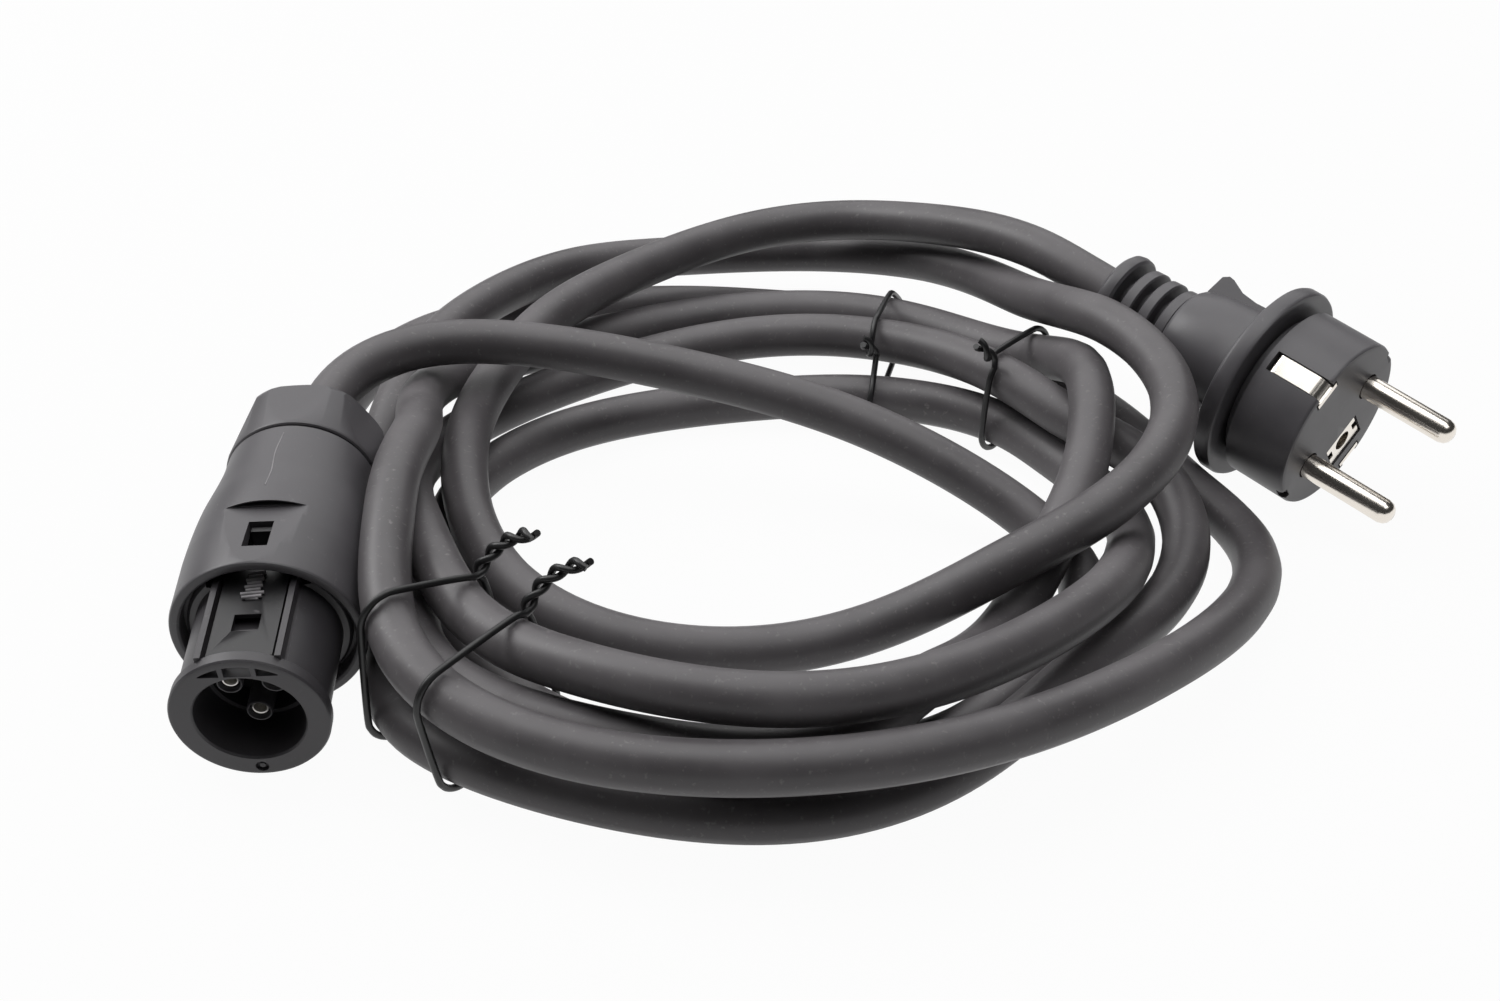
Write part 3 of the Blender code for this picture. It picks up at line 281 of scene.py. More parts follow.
def settle(points, start_fixed, end_fixed):
    """Lets the turns push each other apart, keep off the connector and the plug and lie on the floor."""
    p = points.copy()
    least = CABLE_D + CABLE_GAP
    own = start_fixed + OWN_POINTS
    first, second = np.triu_indices(len(p), int(1.5 * least / POINT_STEP) + NEAR_POINTS)
    free = slice(start_fixed, len(p) - end_fixed)
    for turn in range(ROUNDS):
        if turn % LOOK_EVERY == 0:
            close = np.linalg.norm(p[second] - p[first], axis=1) < least + CLOSE_BY
            i, j = first[close], second[close]
        apart = p[j] - p[i]
        far = np.linalg.norm(apart, axis=1)
        shove = apart * (np.maximum(least - far, 0) / np.maximum(far, 1e-6) * SHOVE)[:, None]
        push = NUDGE * keep_off(p, FACE, AXIS, CONNECTOR_SHAPE, slice(0, own))
        push += NUDGE * keep_off(p, PLUG_FACE, -AIM, PLUG_SHAPE, slice(-own, None))
        np.add.at(push, i, -shove)
        np.add.at(push, j, shove)
        push *= np.minimum(1, 1 / np.maximum(np.linalg.norm(push, axis=1), 1e-9))[:, None]
        push[2:-2] += (-p[:-4] + 4 * p[1:-3] - 6 * p[2:-2] + 4 * p[3:-1] - p[4:]) * STRAIGHTEN
        p[free] += push[free]
        p[free, 2] = np.maximum(p[free, 2], floor_height(p)[free])
    return p


turns = -np.radians(45.0 * np.arange(len(STATIONS)))
reach, height = np.array(STATIONS, float).T
stations = np.stack([COIL_AT[0] + reach * np.cos(turns), COIL_AT[1] + reach * np.sin(turns), height], 1)
route = smooth_curve([*LEAD_ROUTE, *map(tuple, stations), *PLUG_ROUTE], ROUTE_SAMPLES)
route = even(route, POINT_STEP)
start_fixed = int((NOSE_END - SHEATH_START) / POINT_STEP) + 1
end_fixed = int((RELIEF_END + PLUG_STRAIGHT - SHEATH_END) / POINT_STEP) + 1
for i in range(start_fixed):
    route[i] = FACE + AXIS * (SHEATH_START + POINT_STEP * i)
for i in range(end_fixed):
    route[-1 - i] = PLUG_FACE - AIM * (SHEATH_END + POINT_STEP * i)
cable_line = even(smooth_curve(settle(route, start_fixed, end_fixed), LINE_SAMPLES), DRAWN_STEP)


def drawn(name, points, radius, sides_half):
    """A capped round tube through the points, as one open curve."""
    curve = bpy.data.curves.new(name, "CURVE")
    curve.dimensions = "3D"
    curve.bevel_depth = radius * MM
    curve.bevel_resolution = sides_half
    curve.use_fill_caps = True
    spline = curve.splines.new("POLY")
    spline.points.add(len(points) - 1)
    for spot, point in zip(spline.points, points):
        spot.co = (point[0] * MM, point[1] * MM, point[2] * MM, 1.0)
    spline.use_smooth = True
    made = bpy.data.objects.new(name, curve)
    scene.collection.objects.link(made)
    return made


def shader(name):
    """A new material, its node tree, its shader and its Object coordinates."""
    made = bpy.data.materials.new(name)
    made.use_nodes = True
    tree = made.node_tree
    coords = add(tree, "ShaderNodeTexCoord").outputs["Object"]
    return made, tree, tree.nodes["Principled BSDF"], coords


def noise(tree, coords, size, detail, **more):
    """Soft noise with features of the given size in millimetres."""
    inputs = {"Vector": coords, "Scale": 1 / (size * MM), "Detail": detail, **more}
    return add(tree, "ShaderNodeTexNoise", inputs).outputs["Fac"]


def stretch(tree, value, source=(0.0, 1.0), target=(0.0, 1.0)):
    """A value stretched from one range to another."""
    inputs = {"Value": value, "From Min": source[0], "From Max": source[1]}
    inputs.update({"To Min": target[0], "To Max": target[1]})
    return add(tree, "ShaderNodeMapRange", inputs).outputs[0]


def blend(tree, share, first, second):
    """A colour between two. Each is an sRGB code or the socket of a colour."""
    ends = [linear(end) if isinstance(end, str) else end for end in (first, second)]
    return add(tree, "ShaderNodeMixRGB", {"Fac": share, "Color1": ends[0], "Color2": ends[1]}).outputs[0]


def relief(tree, height, strength, depth):
    """A bump of the given depth in millimetres."""
    inputs = {"Height": height, "Strength": strength, "Distance": depth * MM}
    return add(tree, "ShaderNodeBump", inputs).outputs[0]


# Vulcanised rubber sheath, extruded and talc-dusted: dull charcoal with pale rubbed patches about
# 22 mm long and dust specks of 0.9 mm. The fine skin grain is drawn at 0.7 mm so that it shows.
sheath_rubber, tree, gloss, coords = shader("extruded_rubber_sheath")
patches = noise(tree, coords, 22, 4.0, Roughness=0.6)
dust = noise(tree, coords, 0.9, 2.0, Roughness=0.5)
tone = blend(tree, stretch(tree, patches, (0.35, 0.70)), "4c494b", "5f5c5e")
feed(tree, gloss, {
    "Base Color": blend(tree, stretch(tree, dust, (0.62, 0.80)), tone, "6e6b6c"),
    "Roughness": stretch(tree, patches, (0.3, 0.7), (0.42, 0.56)),
    "Normal": relief(tree, noise(tree, coords, 0.7, 3.0), 0.12, 0.05),
    "Specular IOR Level": 0.5,
})

cable = drawn("rubber_cable", cable_line, CABLE_R, 6)
cable.data.materials.append(sheath_rubber)
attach(cable, "cord_set")
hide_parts("cable_connector_lead", "cable_coil", "cable_plug_lead")

# Wire ties: four lengths of soft black-coated steel wire, each bent once round the strands by hand.
# The two ends are twisted together on top and curl away along the cable.
TIE_R = 0.62
TIE_OFF = CABLE_R + TIE_R + 0.45
# Where the knot sits round the bundle and the half gap left for it, as angles
KNOT = 2.2
KNOT_GAP = 0.2
KNOT_LIFT = 0.8
LOOP_STEPS = 90
LOOP_POINTS = 120
END_STEPS = 40
# The twisted ends: bend radius, whole bend, twist radius and whole twist
CURL_R = 11.0
CURL = 1.3
TWIST_R = 0.75
TWIST = 12.0


def strands_at(way, least, most):
    """Reach and height of each strand that crosses a half plane from the coil's middle."""
    flat = cable_line[:, :2] - COIL_AT
    side = flat @ np.array([-way[1], way[0]])
    i = np.nonzero(side[:-1] * side[1:] < 0)[0]
    share = (side[i] / (side[i] - side[i + 1]))[:, None]
    cross = cable_line[i] * (1 - share) + cable_line[i + 1] * share
    held = np.stack([(cross[:, :2] - COIL_AT) @ way, cross[:, 2]], 1)
    return held[(held[:, 0] > least) & (held[:, 0] < most)]


def tie_points(degrees, least, most, tail):
    """The wire from one twisted end, round the strands and back to the other end."""
    radial = np.array([math.cos(math.radians(degrees)), math.sin(math.radians(degrees)), 0.0])
    along = np.array([-radial[1], radial[0], 0.0])
    upward = np.array([0.0, 0.0, 1.0])
    middle = np.array([*COIL_AT, 0.0])
    held = strands_at(radial[:2], least, most)
    loop = []
    for k in range(LOOP_STEPS + 1):
        turn = KNOT + KNOT_GAP + (2 * math.pi - 2 * KNOT_GAP) * k / LOOP_STEPS
        out = np.array([math.cos(turn), math.sin(turn)])
        spot = held[(held @ out).argmax()] + TIE_OFF * out
        lean = 2.0 * k / LOOP_STEPS - 1.0
        loop.append(middle + radial * spot[0] + upward * spot[1] + along * lean)
    loop = smooth_curve(np.array(loop)[::3], LOOP_POINTS)
    away = radial * math.cos(KNOT) + upward * math.sin(KNOT)
    base = (loop[0] + loop[-1]) / 2 + away * KNOT_LIFT
    cross = np.cross(away, along)
    ends = []
    for start in (math.pi, 0.0):
        end = []
        for k in range(1, END_STEPS + 1):
            share = tail * k / END_STEPS
            bend = CURL * share
            spine = base + CURL_R * (math.sin(bend) * away + (1 - math.cos(bend)) * along)
            sideways = math.cos(bend) * along - math.sin(bend) * away
            phase = start + TWIST * share
            end.append(spine + TWIST_R * (math.cos(phase) * sideways + math.sin(phase) * cross))
        ends.append(np.array(end))
    return np.vstack([ends[0][::-1], loop, ends[1]])


# Black polymer coat on soft wire: a faint sheen, rubbed greyer in patches about 3 mm long
coated_wire, tree, gloss, coords = shader("black_coated_wire")
rub = noise(tree, coords, 3, 2.0)
feed(tree, gloss, {"Base Color": blend(tree, rub, "0c0c0d", "232324"), "Roughness": 0.42})
for name, values in TIES.items():
    tie = drawn(f"{name}_wire", tie_points(*values), TIE_R, 3)
    tie.data.materials.append(coated_wire)
    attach(tie, "cord_set")
    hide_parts(name)

# Outer shell: the connector's barrel, injection moulded in glass-filled nylon. It is tapered to the gland,
# dished at both sides for the fingers and cut on top by a sloping flat with the latch window in it.
ROLL = math.radians(-3.0)
TILTED = Matrix.Rotation(TILT, 4, "X") @ Matrix.Rotation(ROLL, 4, "Y")
CONNECTOR = Matrix.Translation(Vector(FACE) * MM) @ TILTED
SEAM_ANGLE = math.radians(1.7)
SHARP_ANGLE = math.radians(32)


def turned(profile, steps=128, ring=True):
    """A shape turned about the local Y axis from (radius, along) points."""
    bm = bmesh.new()
    side, up = math.cos(SEAM_ANGLE), math.sin(SEAM_ANGLE)
    verts = [bm.verts.new((r * side, along, r * up)) for r, along in profile]
    pairs = list(zip(verts, verts[1:]))
    if ring:
        pairs.append((verts[-1], verts[0]))
    edges = [bm.edges.new(pair) for pair in pairs]
    bmesh.ops.spin(bm, geom=verts + edges, cent=(0, 0, 0), axis=(0, 1, 0), angle=2 * math.pi, steps=steps,
                   use_merge=True)
    bmesh.ops.remove_doubles(bm, verts=bm.verts, dist=0.0001)
    return bm


def slab(x, y, z, rounding=0.0):
    """A box from three (low, high) pairs, its edges rounded when asked."""
    bm = bmesh.new()
    bmesh.ops.create_cube(bm, size=1.0)
    bmesh.ops.scale(bm, verts=bm.verts, vec=(x[1] - x[0], y[1] - y[0], z[1] - z[0]))
    middle = ((x[0] + x[1]) / 2, (y[0] + y[1]) / 2, (z[0] + z[1]) / 2)
    bmesh.ops.translate(bm, verts=bm.verts, vec=middle)
    if rounding:
        bmesh.ops.bevel(bm, geom=bm.edges[:], offset=rounding, affect="EDGES", segments=3, profile=0.5,
                        material=-1)
    return bm


def pushed(outline, vec):
    """A solid pushed along a vector from a flat outline of points."""
    bm = bmesh.new()
    face = bm.faces.new([bm.verts.new(point) for point in outline])
    moved = bmesh.ops.extrude_face_region(bm, geom=[face])["geom"]
    verts = [item for item in moved if isinstance(item, bmesh.types.BMVert)]
    bmesh.ops.translate(bm, verts=verts, vec=vec)
    return bm


def bar(radius, start, end, sides=48):
    """A round bar between two points."""
    start = Vector(start)
    along = Vector(end) - start
    bm = bmesh.new()
    turn = along.to_track_quat("Z", "Y").to_matrix().to_4x4()
    bmesh.ops.create_cone(bm, cap_ends=True, segments=sides, radius1=radius, radius2=radius,
                          depth=along.length, matrix=Matrix.Translation(start + along / 2) @ turn)
    return bm


def placed(name, bm, place):
    """The shape as an object at the origin, its millimetres put where the real piece is."""
    bmesh.ops.recalc_face_normals(bm, faces=bm.faces)
    bm.transform(place @ Matrix.Scale(MM, 4))
    mesh = bpy.data.meshes.new(name)
    bm.to_mesh(mesh)
    bm.free()
    made = bpy.data.objects.new(name, mesh)
    scene.collection.objects.link(made)
    return made


def carved(target, shapes, operation="DIFFERENCE", place=CONNECTOR):
    """Cuts, joins or crosses a piece with other shapes given in the same local millimetres."""
    tools = [placed("tool", bm, place) for bm in shapes]
    for tool in tools:
        step = target.modifiers.new(operation, "BOOLEAN")
        step.operation = operation
        step.solver = "EXACT"
        step.object = tool
    bpy.context.view_layer.update()
    worked = target.evaluated_get(bpy.context.evaluated_depsgraph_get())
    mesh = bpy.data.meshes.new_from_object(worked)
    target.modifiers.clear()
    target.data = mesh
    for tool in tools:
        bpy.data.objects.remove(tool, do_unlink=True)
    return target


def dressed(piece, look, body, replaced=(), edge=0.0, segments=3):
    """Rounds a piece's edges, gives it its finish and says what it moves with and stands for."""
    piece.data.materials.clear()
    piece.data.materials.append(look)
    piece.data.shade_smooth()
    if edge:
        rounding = piece.modifiers.new("edge_radius", "BEVEL")
        rounding.width = edge * MM
        rounding.segments = segments
        rounding.limit_method = "ANGLE"
        rounding.angle_limit = SHARP_ANGLE
        rounding.miter_outer = "MITER_ARC"
        piece.modifiers.new("even_shading", "WEIGHTED_NORMAL").keep_sharp = True
    else:
        piece.data.set_sharp_from_angle(angle=SHARP_ANGLE)
    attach(piece, body)
    if replaced:
        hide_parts(*replaced)
    return piece


def moulding(name, dark, light):
    """A satin plastic from a spark-eroded mould: its 0.15 mm texture is drawn at 0.4 mm so that it shows,
    with cloudy flow marks about 12 mm across and a few pale handling scuffs of 1.6 mm."""
    made, tree, gloss, coords = shader(name)
    flow = noise(tree, coords, 12, 3.0, Roughness=0.55)
    scuff = noise(tree, coords, 1.6, 3.0, Distortion=1.5)
    tone = blend(tree, stretch(tree, flow, (0.3, 0.7)), dark, light)
    feed(tree, gloss, {
        "Base Color": blend(tree, stretch(tree, scuff, (0.68, 0.80), (0.0, 0.35)), tone, "7c797b"),
        "Roughness": stretch(tree, flow, (0.3, 0.7), (0.40, 0.48)),
        "Normal": relief(tree, noise(tree, coords, 0.4, 2.0), 0.10, 0.03),
    })
    return made


# Grey glass-filled nylon: the satin mid grey of the barrel, the contact tubes and the gland nut
grey_nylon = moulding("moulded_grey_nylon", "4a484b", "535154")
SHELL_R = 16.4
RIM_AT = 19.0
FLAT_END = 34.6
FLAT_LOW = 14.7
FLAT_SLOPE = 0.115
LIP_R = 15.95
LIP_HALF = 0.37
FLANK_START = 36
FLANK_LEAST_R = 12.9
# Finger dishes: middle along the barrel, half length and depth, then each side's start and run-in
DISH_AT = 51.0
DISH_LONG = 4.5
DISH_DEEP = 0.6
DISHES = ((-1, 0.62, 0.3), (1, 0.72, 0.22))
rim = [(14.4, RIM_AT + 0.7), (14.6, RIM_AT + 0.25), (15.0, RIM_AT), (15.8, RIM_AT), (16.2, RIM_AT + 0.2),
       (SHELL_R, RIM_AT + 0.6)]
flank = [(SHELL_R, 30.0), (16.1, 36.0), (15.5, 42.0), (14.9, 45.8), (13.9, 53.8), (13.45, 57.4)]
flank = smooth_curve(flank, 30)
inside = [(13.0, 57.8), (10.6, 57.8), (10.6, 66.0), (9.2, 66.0), (9.2, 51.9), (8.1, 51.9), (8.1, 44.0),
          (12.5, 44.0), (12.5, 33.0), (13.4, 33.0), (13.4, 22.5), (14.4, 22.5)]
bm = turned([*rim, (SHELL_R, 24.0), *map(tuple, flank), *inside])
for vert in bm.verts:
    radius = math.hypot(vert.co.x, vert.co.z)
    if vert.co.y > FLANK_START and radius > FLANK_LEAST_R:
        deep = 0.0
        for side, start, run_in in DISHES:
            share = min(1.0, max(0.0, (side * vert.co.x / radius - start) / run_in))
            deep = max(deep, DISH_DEEP * share ** 2)
        dish = math.exp(-((vert.co.y - DISH_AT) / DISH_LONG) ** 2) * deep
        vert.co.x *= (radius - dish) / radius
        vert.co.z *= (radius - dish) / radius
outer_shell = placed("outer_barrel", bm, CONNECTOR)
flat_cut = slab((-10.0, 10.0), (RIM_AT - 1.0, FLAT_END), (FLAT_LOW, 20.0))
for vert in flat_cut.verts:
    if vert.co.z < SHELL_R:
        vert.co.z += FLAT_SLOPE * (FLAT_END - vert.co.y)
lip_angles = np.linspace(LIP_HALF, -LIP_HALF, 25)
lip = [(LIP_R * math.sin(a), FLAT_END - 0.3, LIP_R * math.cos(a)) for a in lip_angles]
window = slab((-2.1, 2.1), (23.6, 30.4), (12.0, 20.0))
carved(outer_shell, [flat_cut, pushed(lip, (0, 2.0, 0)), window])
dressed(outer_shell, grey_nylon, "cord_set", ["outer_shell"], edge=0.2)

# Witness line: the pale hair of flash that the two mould halves left along the barrel's top.
# It is the barrel's own nylon, a quarter of a millimetre wide, whitened where it was trimmed.
# Trimmed nylon: dull and paler than the barrel, whitened in patches about 2.5 mm long
trimmed_nylon, tree, gloss, coords = shader("trimmed_nylon_flash")
whitening = noise(tree, coords, 2.5, 3.0)
feed(tree, gloss, {"Base Color": blend(tree, whitening, "5f5d60", "a3a0a2"), "Roughness": 0.6})
WITNESS_R = 0.14
line = []
for radius, along in flank[9:-3]:
    spot = Vector((-0.6 + 0.2 * math.sin(along / 2.1), along, radius - 0.06))
    line.append(CONNECTOR @ (spot * MM) / MM)
witness_line = drawn("barrel_witness_line", line, WITNESS_R, 1)
witness_line.data.materials.append(trimmed_nylon)
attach(witness_line, "cord_set")

# Contact housing: the moulded nose that slides into the mating half, with a flat face ring and a round mouth.
# Three coding cells pierce the ring over the mouth. The top is slotted for the latch between two thin rails.
# Dark glass-filled nylon: the same satin finish a shade darker than the barrel
dark_nylon = moulding("moulded_dark_nylon", "3a383b", "424043")
MOUTH_R = 9.0
RING_R = 13.0
CELL_R = 11.7
CELL_LOW = 9.6
CELLS = ((-6.4, -3.0), (-2.2, 2.2), (3.0, 6.4))
RAIL_X = 6.4
RAIL_HALF = 0.5
MARK_Z = -11
housing = placed("contact_nose", turned([
    (12.3, 0.0), (12.75, 0.12), (RING_R, 0.5), (RING_R, 2.3), (12.8, 2.6), (12.2, 2.6), (12.2, 20.6),
    (13.2, 20.8), (13.7, 21.3), (13.7, 22.2), (12.2, 22.2), (12.2, 36.5), (10.8, 36.5), (10.8, 38.5),
    (12.2, 38.5), (12.2, 42.0), (8.2, 42.0), (8.2, 10.0), (MOUTH_R, 10.0), (MOUTH_R, 0.35), (9.3, 0.0),
]), CONNECTOR)
slot_cut = slab((-8.6, 8.6), (2.4, 32.0), (9.7, 16.0))
pocket_cut = slab((-5.7, 5.7), (10.5, 31.0), (8.95, 15.0))
carved(housing, [slot_cut, pocket_cut])
cuts = []
for low, high in CELLS:
    top = [(x, -1.0, math.sqrt(CELL_R ** 2 - x * x)) for x in np.linspace(high, low, 17)]
    cuts.append(pushed([(low, -1.0, CELL_LOW), (high, -1.0, CELL_LOW), *top], (0, 3.6, 0)))
# A small round recess low in the ring, with a stub in its middle
cuts.append(bar(1.1, (0, -1, MARK_Z), (0, 0.7, MARK_Z), 32))
carved(housing, cuts)
rail_side = [(2.1, 7.5), (2.1, 12.0), (17.6, 12.0), (19.4, 11.9), (20.6, 11.4), (21.4, 10.6), (21.4, 7.5)]
joins = []
for x in (-RAIL_X, RAIL_X):
    joins.append(pushed([(x - RAIL_HALF, along, up) for along, up in rail_side], (2 * RAIL_HALF, 0, 0)))
joins.append(bar(0.5, (0, 0.25, MARK_Z), (0, 1.0, MARK_Z), 20))
carved(housing, joins, "UNION")
dressed(housing, dark_nylon, "cord_set", ["contact_housing"], edge=0.14)

# Latch tongue: a thin springy strip of dark nylon between the rails, with a release window near its root. Its
# colour is darkened to near black as painted shade, for the shadow under the barrel's overhang.
# Its hook snaps up into the barrel's window, and a ribbed nub behind gives a thumbnail some grip.
# Dark nylon darkened to nearly black: painted shade from the barrel's overhang, in the same satin finish
shade_darkened_black_nylon = moulding("black_nylon_with_painted_shade", "1d1c1e", "252426")
TONGUE_TOP = 11.3
TONGUE_END = 29.9
NUB_TOP = TONGUE_TOP + 0.4
NUB_RIBS = 8
NUB_PITCH = 0.8
tongue = placed("latch_strip", slab((-5.3, 5.3), (3.0, TONGUE_END), (10.4, TONGUE_TOP)), CONNECTOR)
carved(tongue, [slab((-1.7, 1.7), (TONGUE_END - 1.0, TONGUE_END), (10.6, FLAT_LOW - 0.4))], "UNION")
carved(tongue, [slab((-2.2, 2.2), (8.6, 12.4), (8.0, 14.0))])
dressed(tongue, shade_darkened_black_nylon, "latch", ["latch_tongue"], edge=0.15, segments=2)
nub = slab((-1.1, 1.1), (15.6, 22.2), (TONGUE_TOP - 0.2, NUB_TOP), 0.2)
for k in range(NUB_RIBS):
    # The ribs are long and short by turns, and the first two are longer still
    wide = 1.15 + 0.3 * (k % 2) + (0.45 if k < 2 else 0.0)
    rib = bar(0.32, (-wide, 15.9 + NUB_PITCH * k, NUB_TOP), (wide, 16.2 + NUB_PITCH * k, NUB_TOP), 14)
    scrap = bpy.data.meshes.new("rib")
    rib.to_mesh(scrap)
    rib.free()
    nub.from_mesh(scrap)
    bpy.data.meshes.remove(scrap)
dressed(placed("latch_thumb_nub", nub, CONNECTOR), trimmed_nylon, "latch")

# Contact carrier: a black insulating block pressed into the nose, with a forward tube for each pole.
# It is moulded smooth in glass-filled polyester and drilled through for the contacts and their screws.
# Black polyester, made darker still as painted shade for the deep mouth: only its edges catch the light,
# clouded faintly at 1.2 mm
polyester_black_as_painted_shade, tree, gloss, coords = shader("black_polyester_with_painted_shade")
specks = noise(tree, coords, 1.2, 3.0)
feed(tree, gloss, {"Base Color": blend(tree, specks, "0b0b0c", "161617"), "Roughness": 0.45})
CONTACTS = {"line": (-3.65, 2.6), "neutral": (3.65, 2.6), "earth": (0.0, -3.9)}
SCREW_AT = 34.0
block = turned([(0.0, 14.0), (7.9, 14.0), (7.9, 40.0), (0.0, 40.0)], 96, ring=False)
carrier = placed("contact_block", block, CONNECTOR)
bores = [bar(1.75, (x, 4.0, z), (x, 40.0, z)) for x, z in CONTACTS.values()]
pockets = [bar(2.6, (x, 26.0, z), (x, 41.0, z), 32) for x, z in CONTACTS.values()]
ways = []
for x, z in CONTACTS.values():
    out = Vector((x, 0.0, z)).normalized()
    ways.append(bar(1.4, (x, SCREW_AT, z), out * 8.9 + Vector((0, SCREW_AT, 0)), 24))
carved(carrier, bores + pockets + ways)
dressed(carrier, polyester_black_as_painted_shade, "cord_set", ["contact_carrier"], edge=0.10, segments=2)
tube = [(1.75, 5.8), (1.85, 5.55), (2.0, 5.5), (2.1, 5.6), (2.15, 5.8), (2.15, 14.2), (1.75, 14.2)]
for role, (x, z) in CONTACTS.items():
    bm = turned(tube, 48)
    bmesh.ops.translate(bm, verts=bm.verts, vec=(x, 0, z))
    dressed(placed(f"{role}_tube", bm, CONNECTOR), grey_nylon, "cord_set")

# Socket contacts: three turned brass sleeves, plated pale, in the carrier's tubes and drilled at the front.
# Their rear halves are terminals that take the cores under steel screws.
# Plated brass: a pale silvery metal, its gloss broken at 0.8 mm by the marks of the cutter
plated_brass, tree, gloss, coords = shader("turned_plated_brass")
cutter_marks = noise(tree, coords, 0.8, 3.0)
feed(tree, gloss, {
    "Base Color": blend(tree, cutter_marks, "b0aeaa", "dad8d4"),
    "Roughness": stretch(tree, cutter_marks, target=(0.22, 0.45)),
    "Metallic": 1.0,
})
contact = [
    (0.0, 17.0), (0.95, 16.5), (0.95, 6.7), (1.1, 6.35), (1.3, 6.3), (1.45, 6.5), (1.45, 26.3), (2.3, 26.3),
    (2.3, 39.0), (1.25, 39.0), (1.25, 29.3), (0.0, 29.3),
]
for role, (x, z) in CONTACTS.items():
    bm = turned(contact, 48, ring=False)
    bmesh.ops.translate(bm, verts=bm.verts, vec=(x, 0, z))
    sleeve = placed(f"{role}_contact", bm, CONNECTOR)
    dressed(sleeve, plated_brass, "cord_set", [f"{role}_socket"])

# Terminal screws, seals, claw and cores: what the barrel and plug hide, kept as the solids are.
# Zinc-plated steel screws, moulded black rubber rings, a polyester claw and three PVC-insulated copper cores.
# Zinc plate: a cool grey metal, clouded in colour and gloss at 0.6 mm
zinc_steel, tree, gloss, coords = shader("zinc_plated_steel")
plating = noise(tree, coords, 0.6, 2.0)
feed(tree, gloss, {
    "Base Color": blend(tree, plating, "97999c", "b9bbbd"),
    "Roughness": stretch(tree, plating, target=(0.25, 0.5)),
    "Metallic": 1.0,
})
# Seal rubber: dull black with a greyish bloom in patches about 4 mm across
seal_rubber, tree, gloss, coords = shader("moulded_seal_rubber")
bloom = noise(tree, coords, 4, 3.0)
feed(tree, gloss, {"Base Color": blend(tree, bloom, "0f0f10", "222223"), "Roughness": 0.7})
looks = {"housing_o_ring": seal_rubber, "gland_seal": seal_rubber, "clamp_claw": polyester_black_as_painted_shade}
CORES = {"line": ("4d301c", "6a4529"), "neutral": ("24437a", "355c9e"), "earth": ("4f7a2a", "c2ab2e")}
for role, (dark, light) in CORES.items():
    # PVC core: its colour varies in soft bands about 5 mm long, which on the earth core are its two stripes
    core, tree, gloss, coords = shader(f"pvc_core_{role}")
    bands = stretch(tree, noise(tree, coords, 5, 1.0), (0.45, 0.55))
    feed(tree, gloss, {"Base Color": blend(tree, bands, dark, light), "Roughness": 0.4})
    looks[f"connector_core_{role}"] = core
    looks[f"plug_core_{role}"] = core
    looks[f"terminal_screw_{role}"] = zinc_steel
for name, look in looks.items():
    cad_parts[name].data.materials.clear()
    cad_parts[name].data.materials.append(look)

# Gland nut: the cap that closes the barrel on the cable, moulded in the same nylon and screwed on by hand.
# It is round where it meets the barrel and runs out to a soft hexagon at the back.
HEX_FRONT = 13.9
HEX_BACK = 11.9
HEX_AT = 64.6
ACROSS = math.cos(math.pi / 6)
nut = placed("gland_cap", turned([
    (13.2, 58.1), (13.5, 58.3), (13.6, 58.8), (13.6, 68.4), (13.3, 69.6), (12.7, 70.3), (11.9, 70.6),
    (5.4, 70.6), (5.0, 70.2), (5.0, 68.4), (7.9, 66.6), (11.0, 66.6), (11.0, 58.1),
]), CONNECTOR)
bm = bmesh.new()
bmesh.ops.create_cone(bm, cap_ends=True, segments=6, radius1=HEX_FRONT / ACROSS, radius2=HEX_BACK / ACROSS,
                      depth=16.0, matrix=Matrix.Rotation(math.radians(-90), 4, "X"))
bmesh.ops.rotate(bm, verts=bm.verts, cent=(0, 0, 0), matrix=Matrix.Rotation(math.radians(30), 3, "Y"))
bmesh.ops.translate(bm, verts=bm.verts, vec=(0, HEX_AT, 0))
carved(nut, [bm], "INTERSECT")
dressed(nut, grey_nylon, "nut", ["gland_nut"], edge=0.5)

# Plug body: the round hard front of the mains plug, moulded over its pins in thermoplastic rubber.
# It carries two side slots for the earth clips, small rim notches and a square earth opening in its face.
# Grey thermoplastic rubber: as satin and as grey as the barrel's nylon
plug_rubber = moulding("moulded_thermoplastic_rubber", "4a484b", "535154")
PINS = np.array([0.612, 0.461, 0.643])
PINS = PINS - AIM * np.dot(PINS, AIM)
PINS = PINS / np.linalg.norm(PINS)
PLUG_TURN = Matrix((PINS, -AIM, np.cross(AIM, PINS))).transposed().to_4x4()
PLUG = Matrix.Translation(Vector(PLUG_FACE) * MM) @ PLUG_TURN
PLUG_R = 17.2
PLUG_FRONT = 15.0
GROOVE_R = 14.9
PIN_X = 9.5
EARTH_DOWN = 8.0
plug_body = placed("plug_front", turned([
    (0.0, 0.0), (16.3, 0.0), (16.9, 0.2), (PLUG_R, 0.8), (PLUG_R, 13.2), (GROOVE_R, 13.4),
    (GROOVE_R, PLUG_FRONT), (0.0, PLUG_FRONT),
], ring=False), PLUG)
cuts = [bar(2.7, (x, -1.0, 0.0), (x, PLUG_FRONT + 1, 0.0), 40) for x in (-PIN_X, PIN_X)]
for side in (-1, 1):
    cuts.append(slab((-2.1, 2.1), (-1.0, 12.0), sorted((side * 14.2, side * 18.5))))
    cuts.append(slab((-3.1, 3.1), (-1.0, 1.0), sorted((side * 13.9, side * 15.9))))
    cuts.append(slab(sorted((side * 15.9, side * 18.5)), (-1.0, 1.6), (-1.4, 1.4)))
cuts.append(slab((-4.7, 4.7), (-1.0, 7.0), (-EARTH_DOWN - 3.7, -EARTH_DOWN + 3.7)))
cuts.append(bar(1.85, (0, 6, -EARTH_DOWN), (0, PLUG_FRONT + 1, -EARTH_DOWN), 24))
carved(plug_body, cuts, place=PLUG)
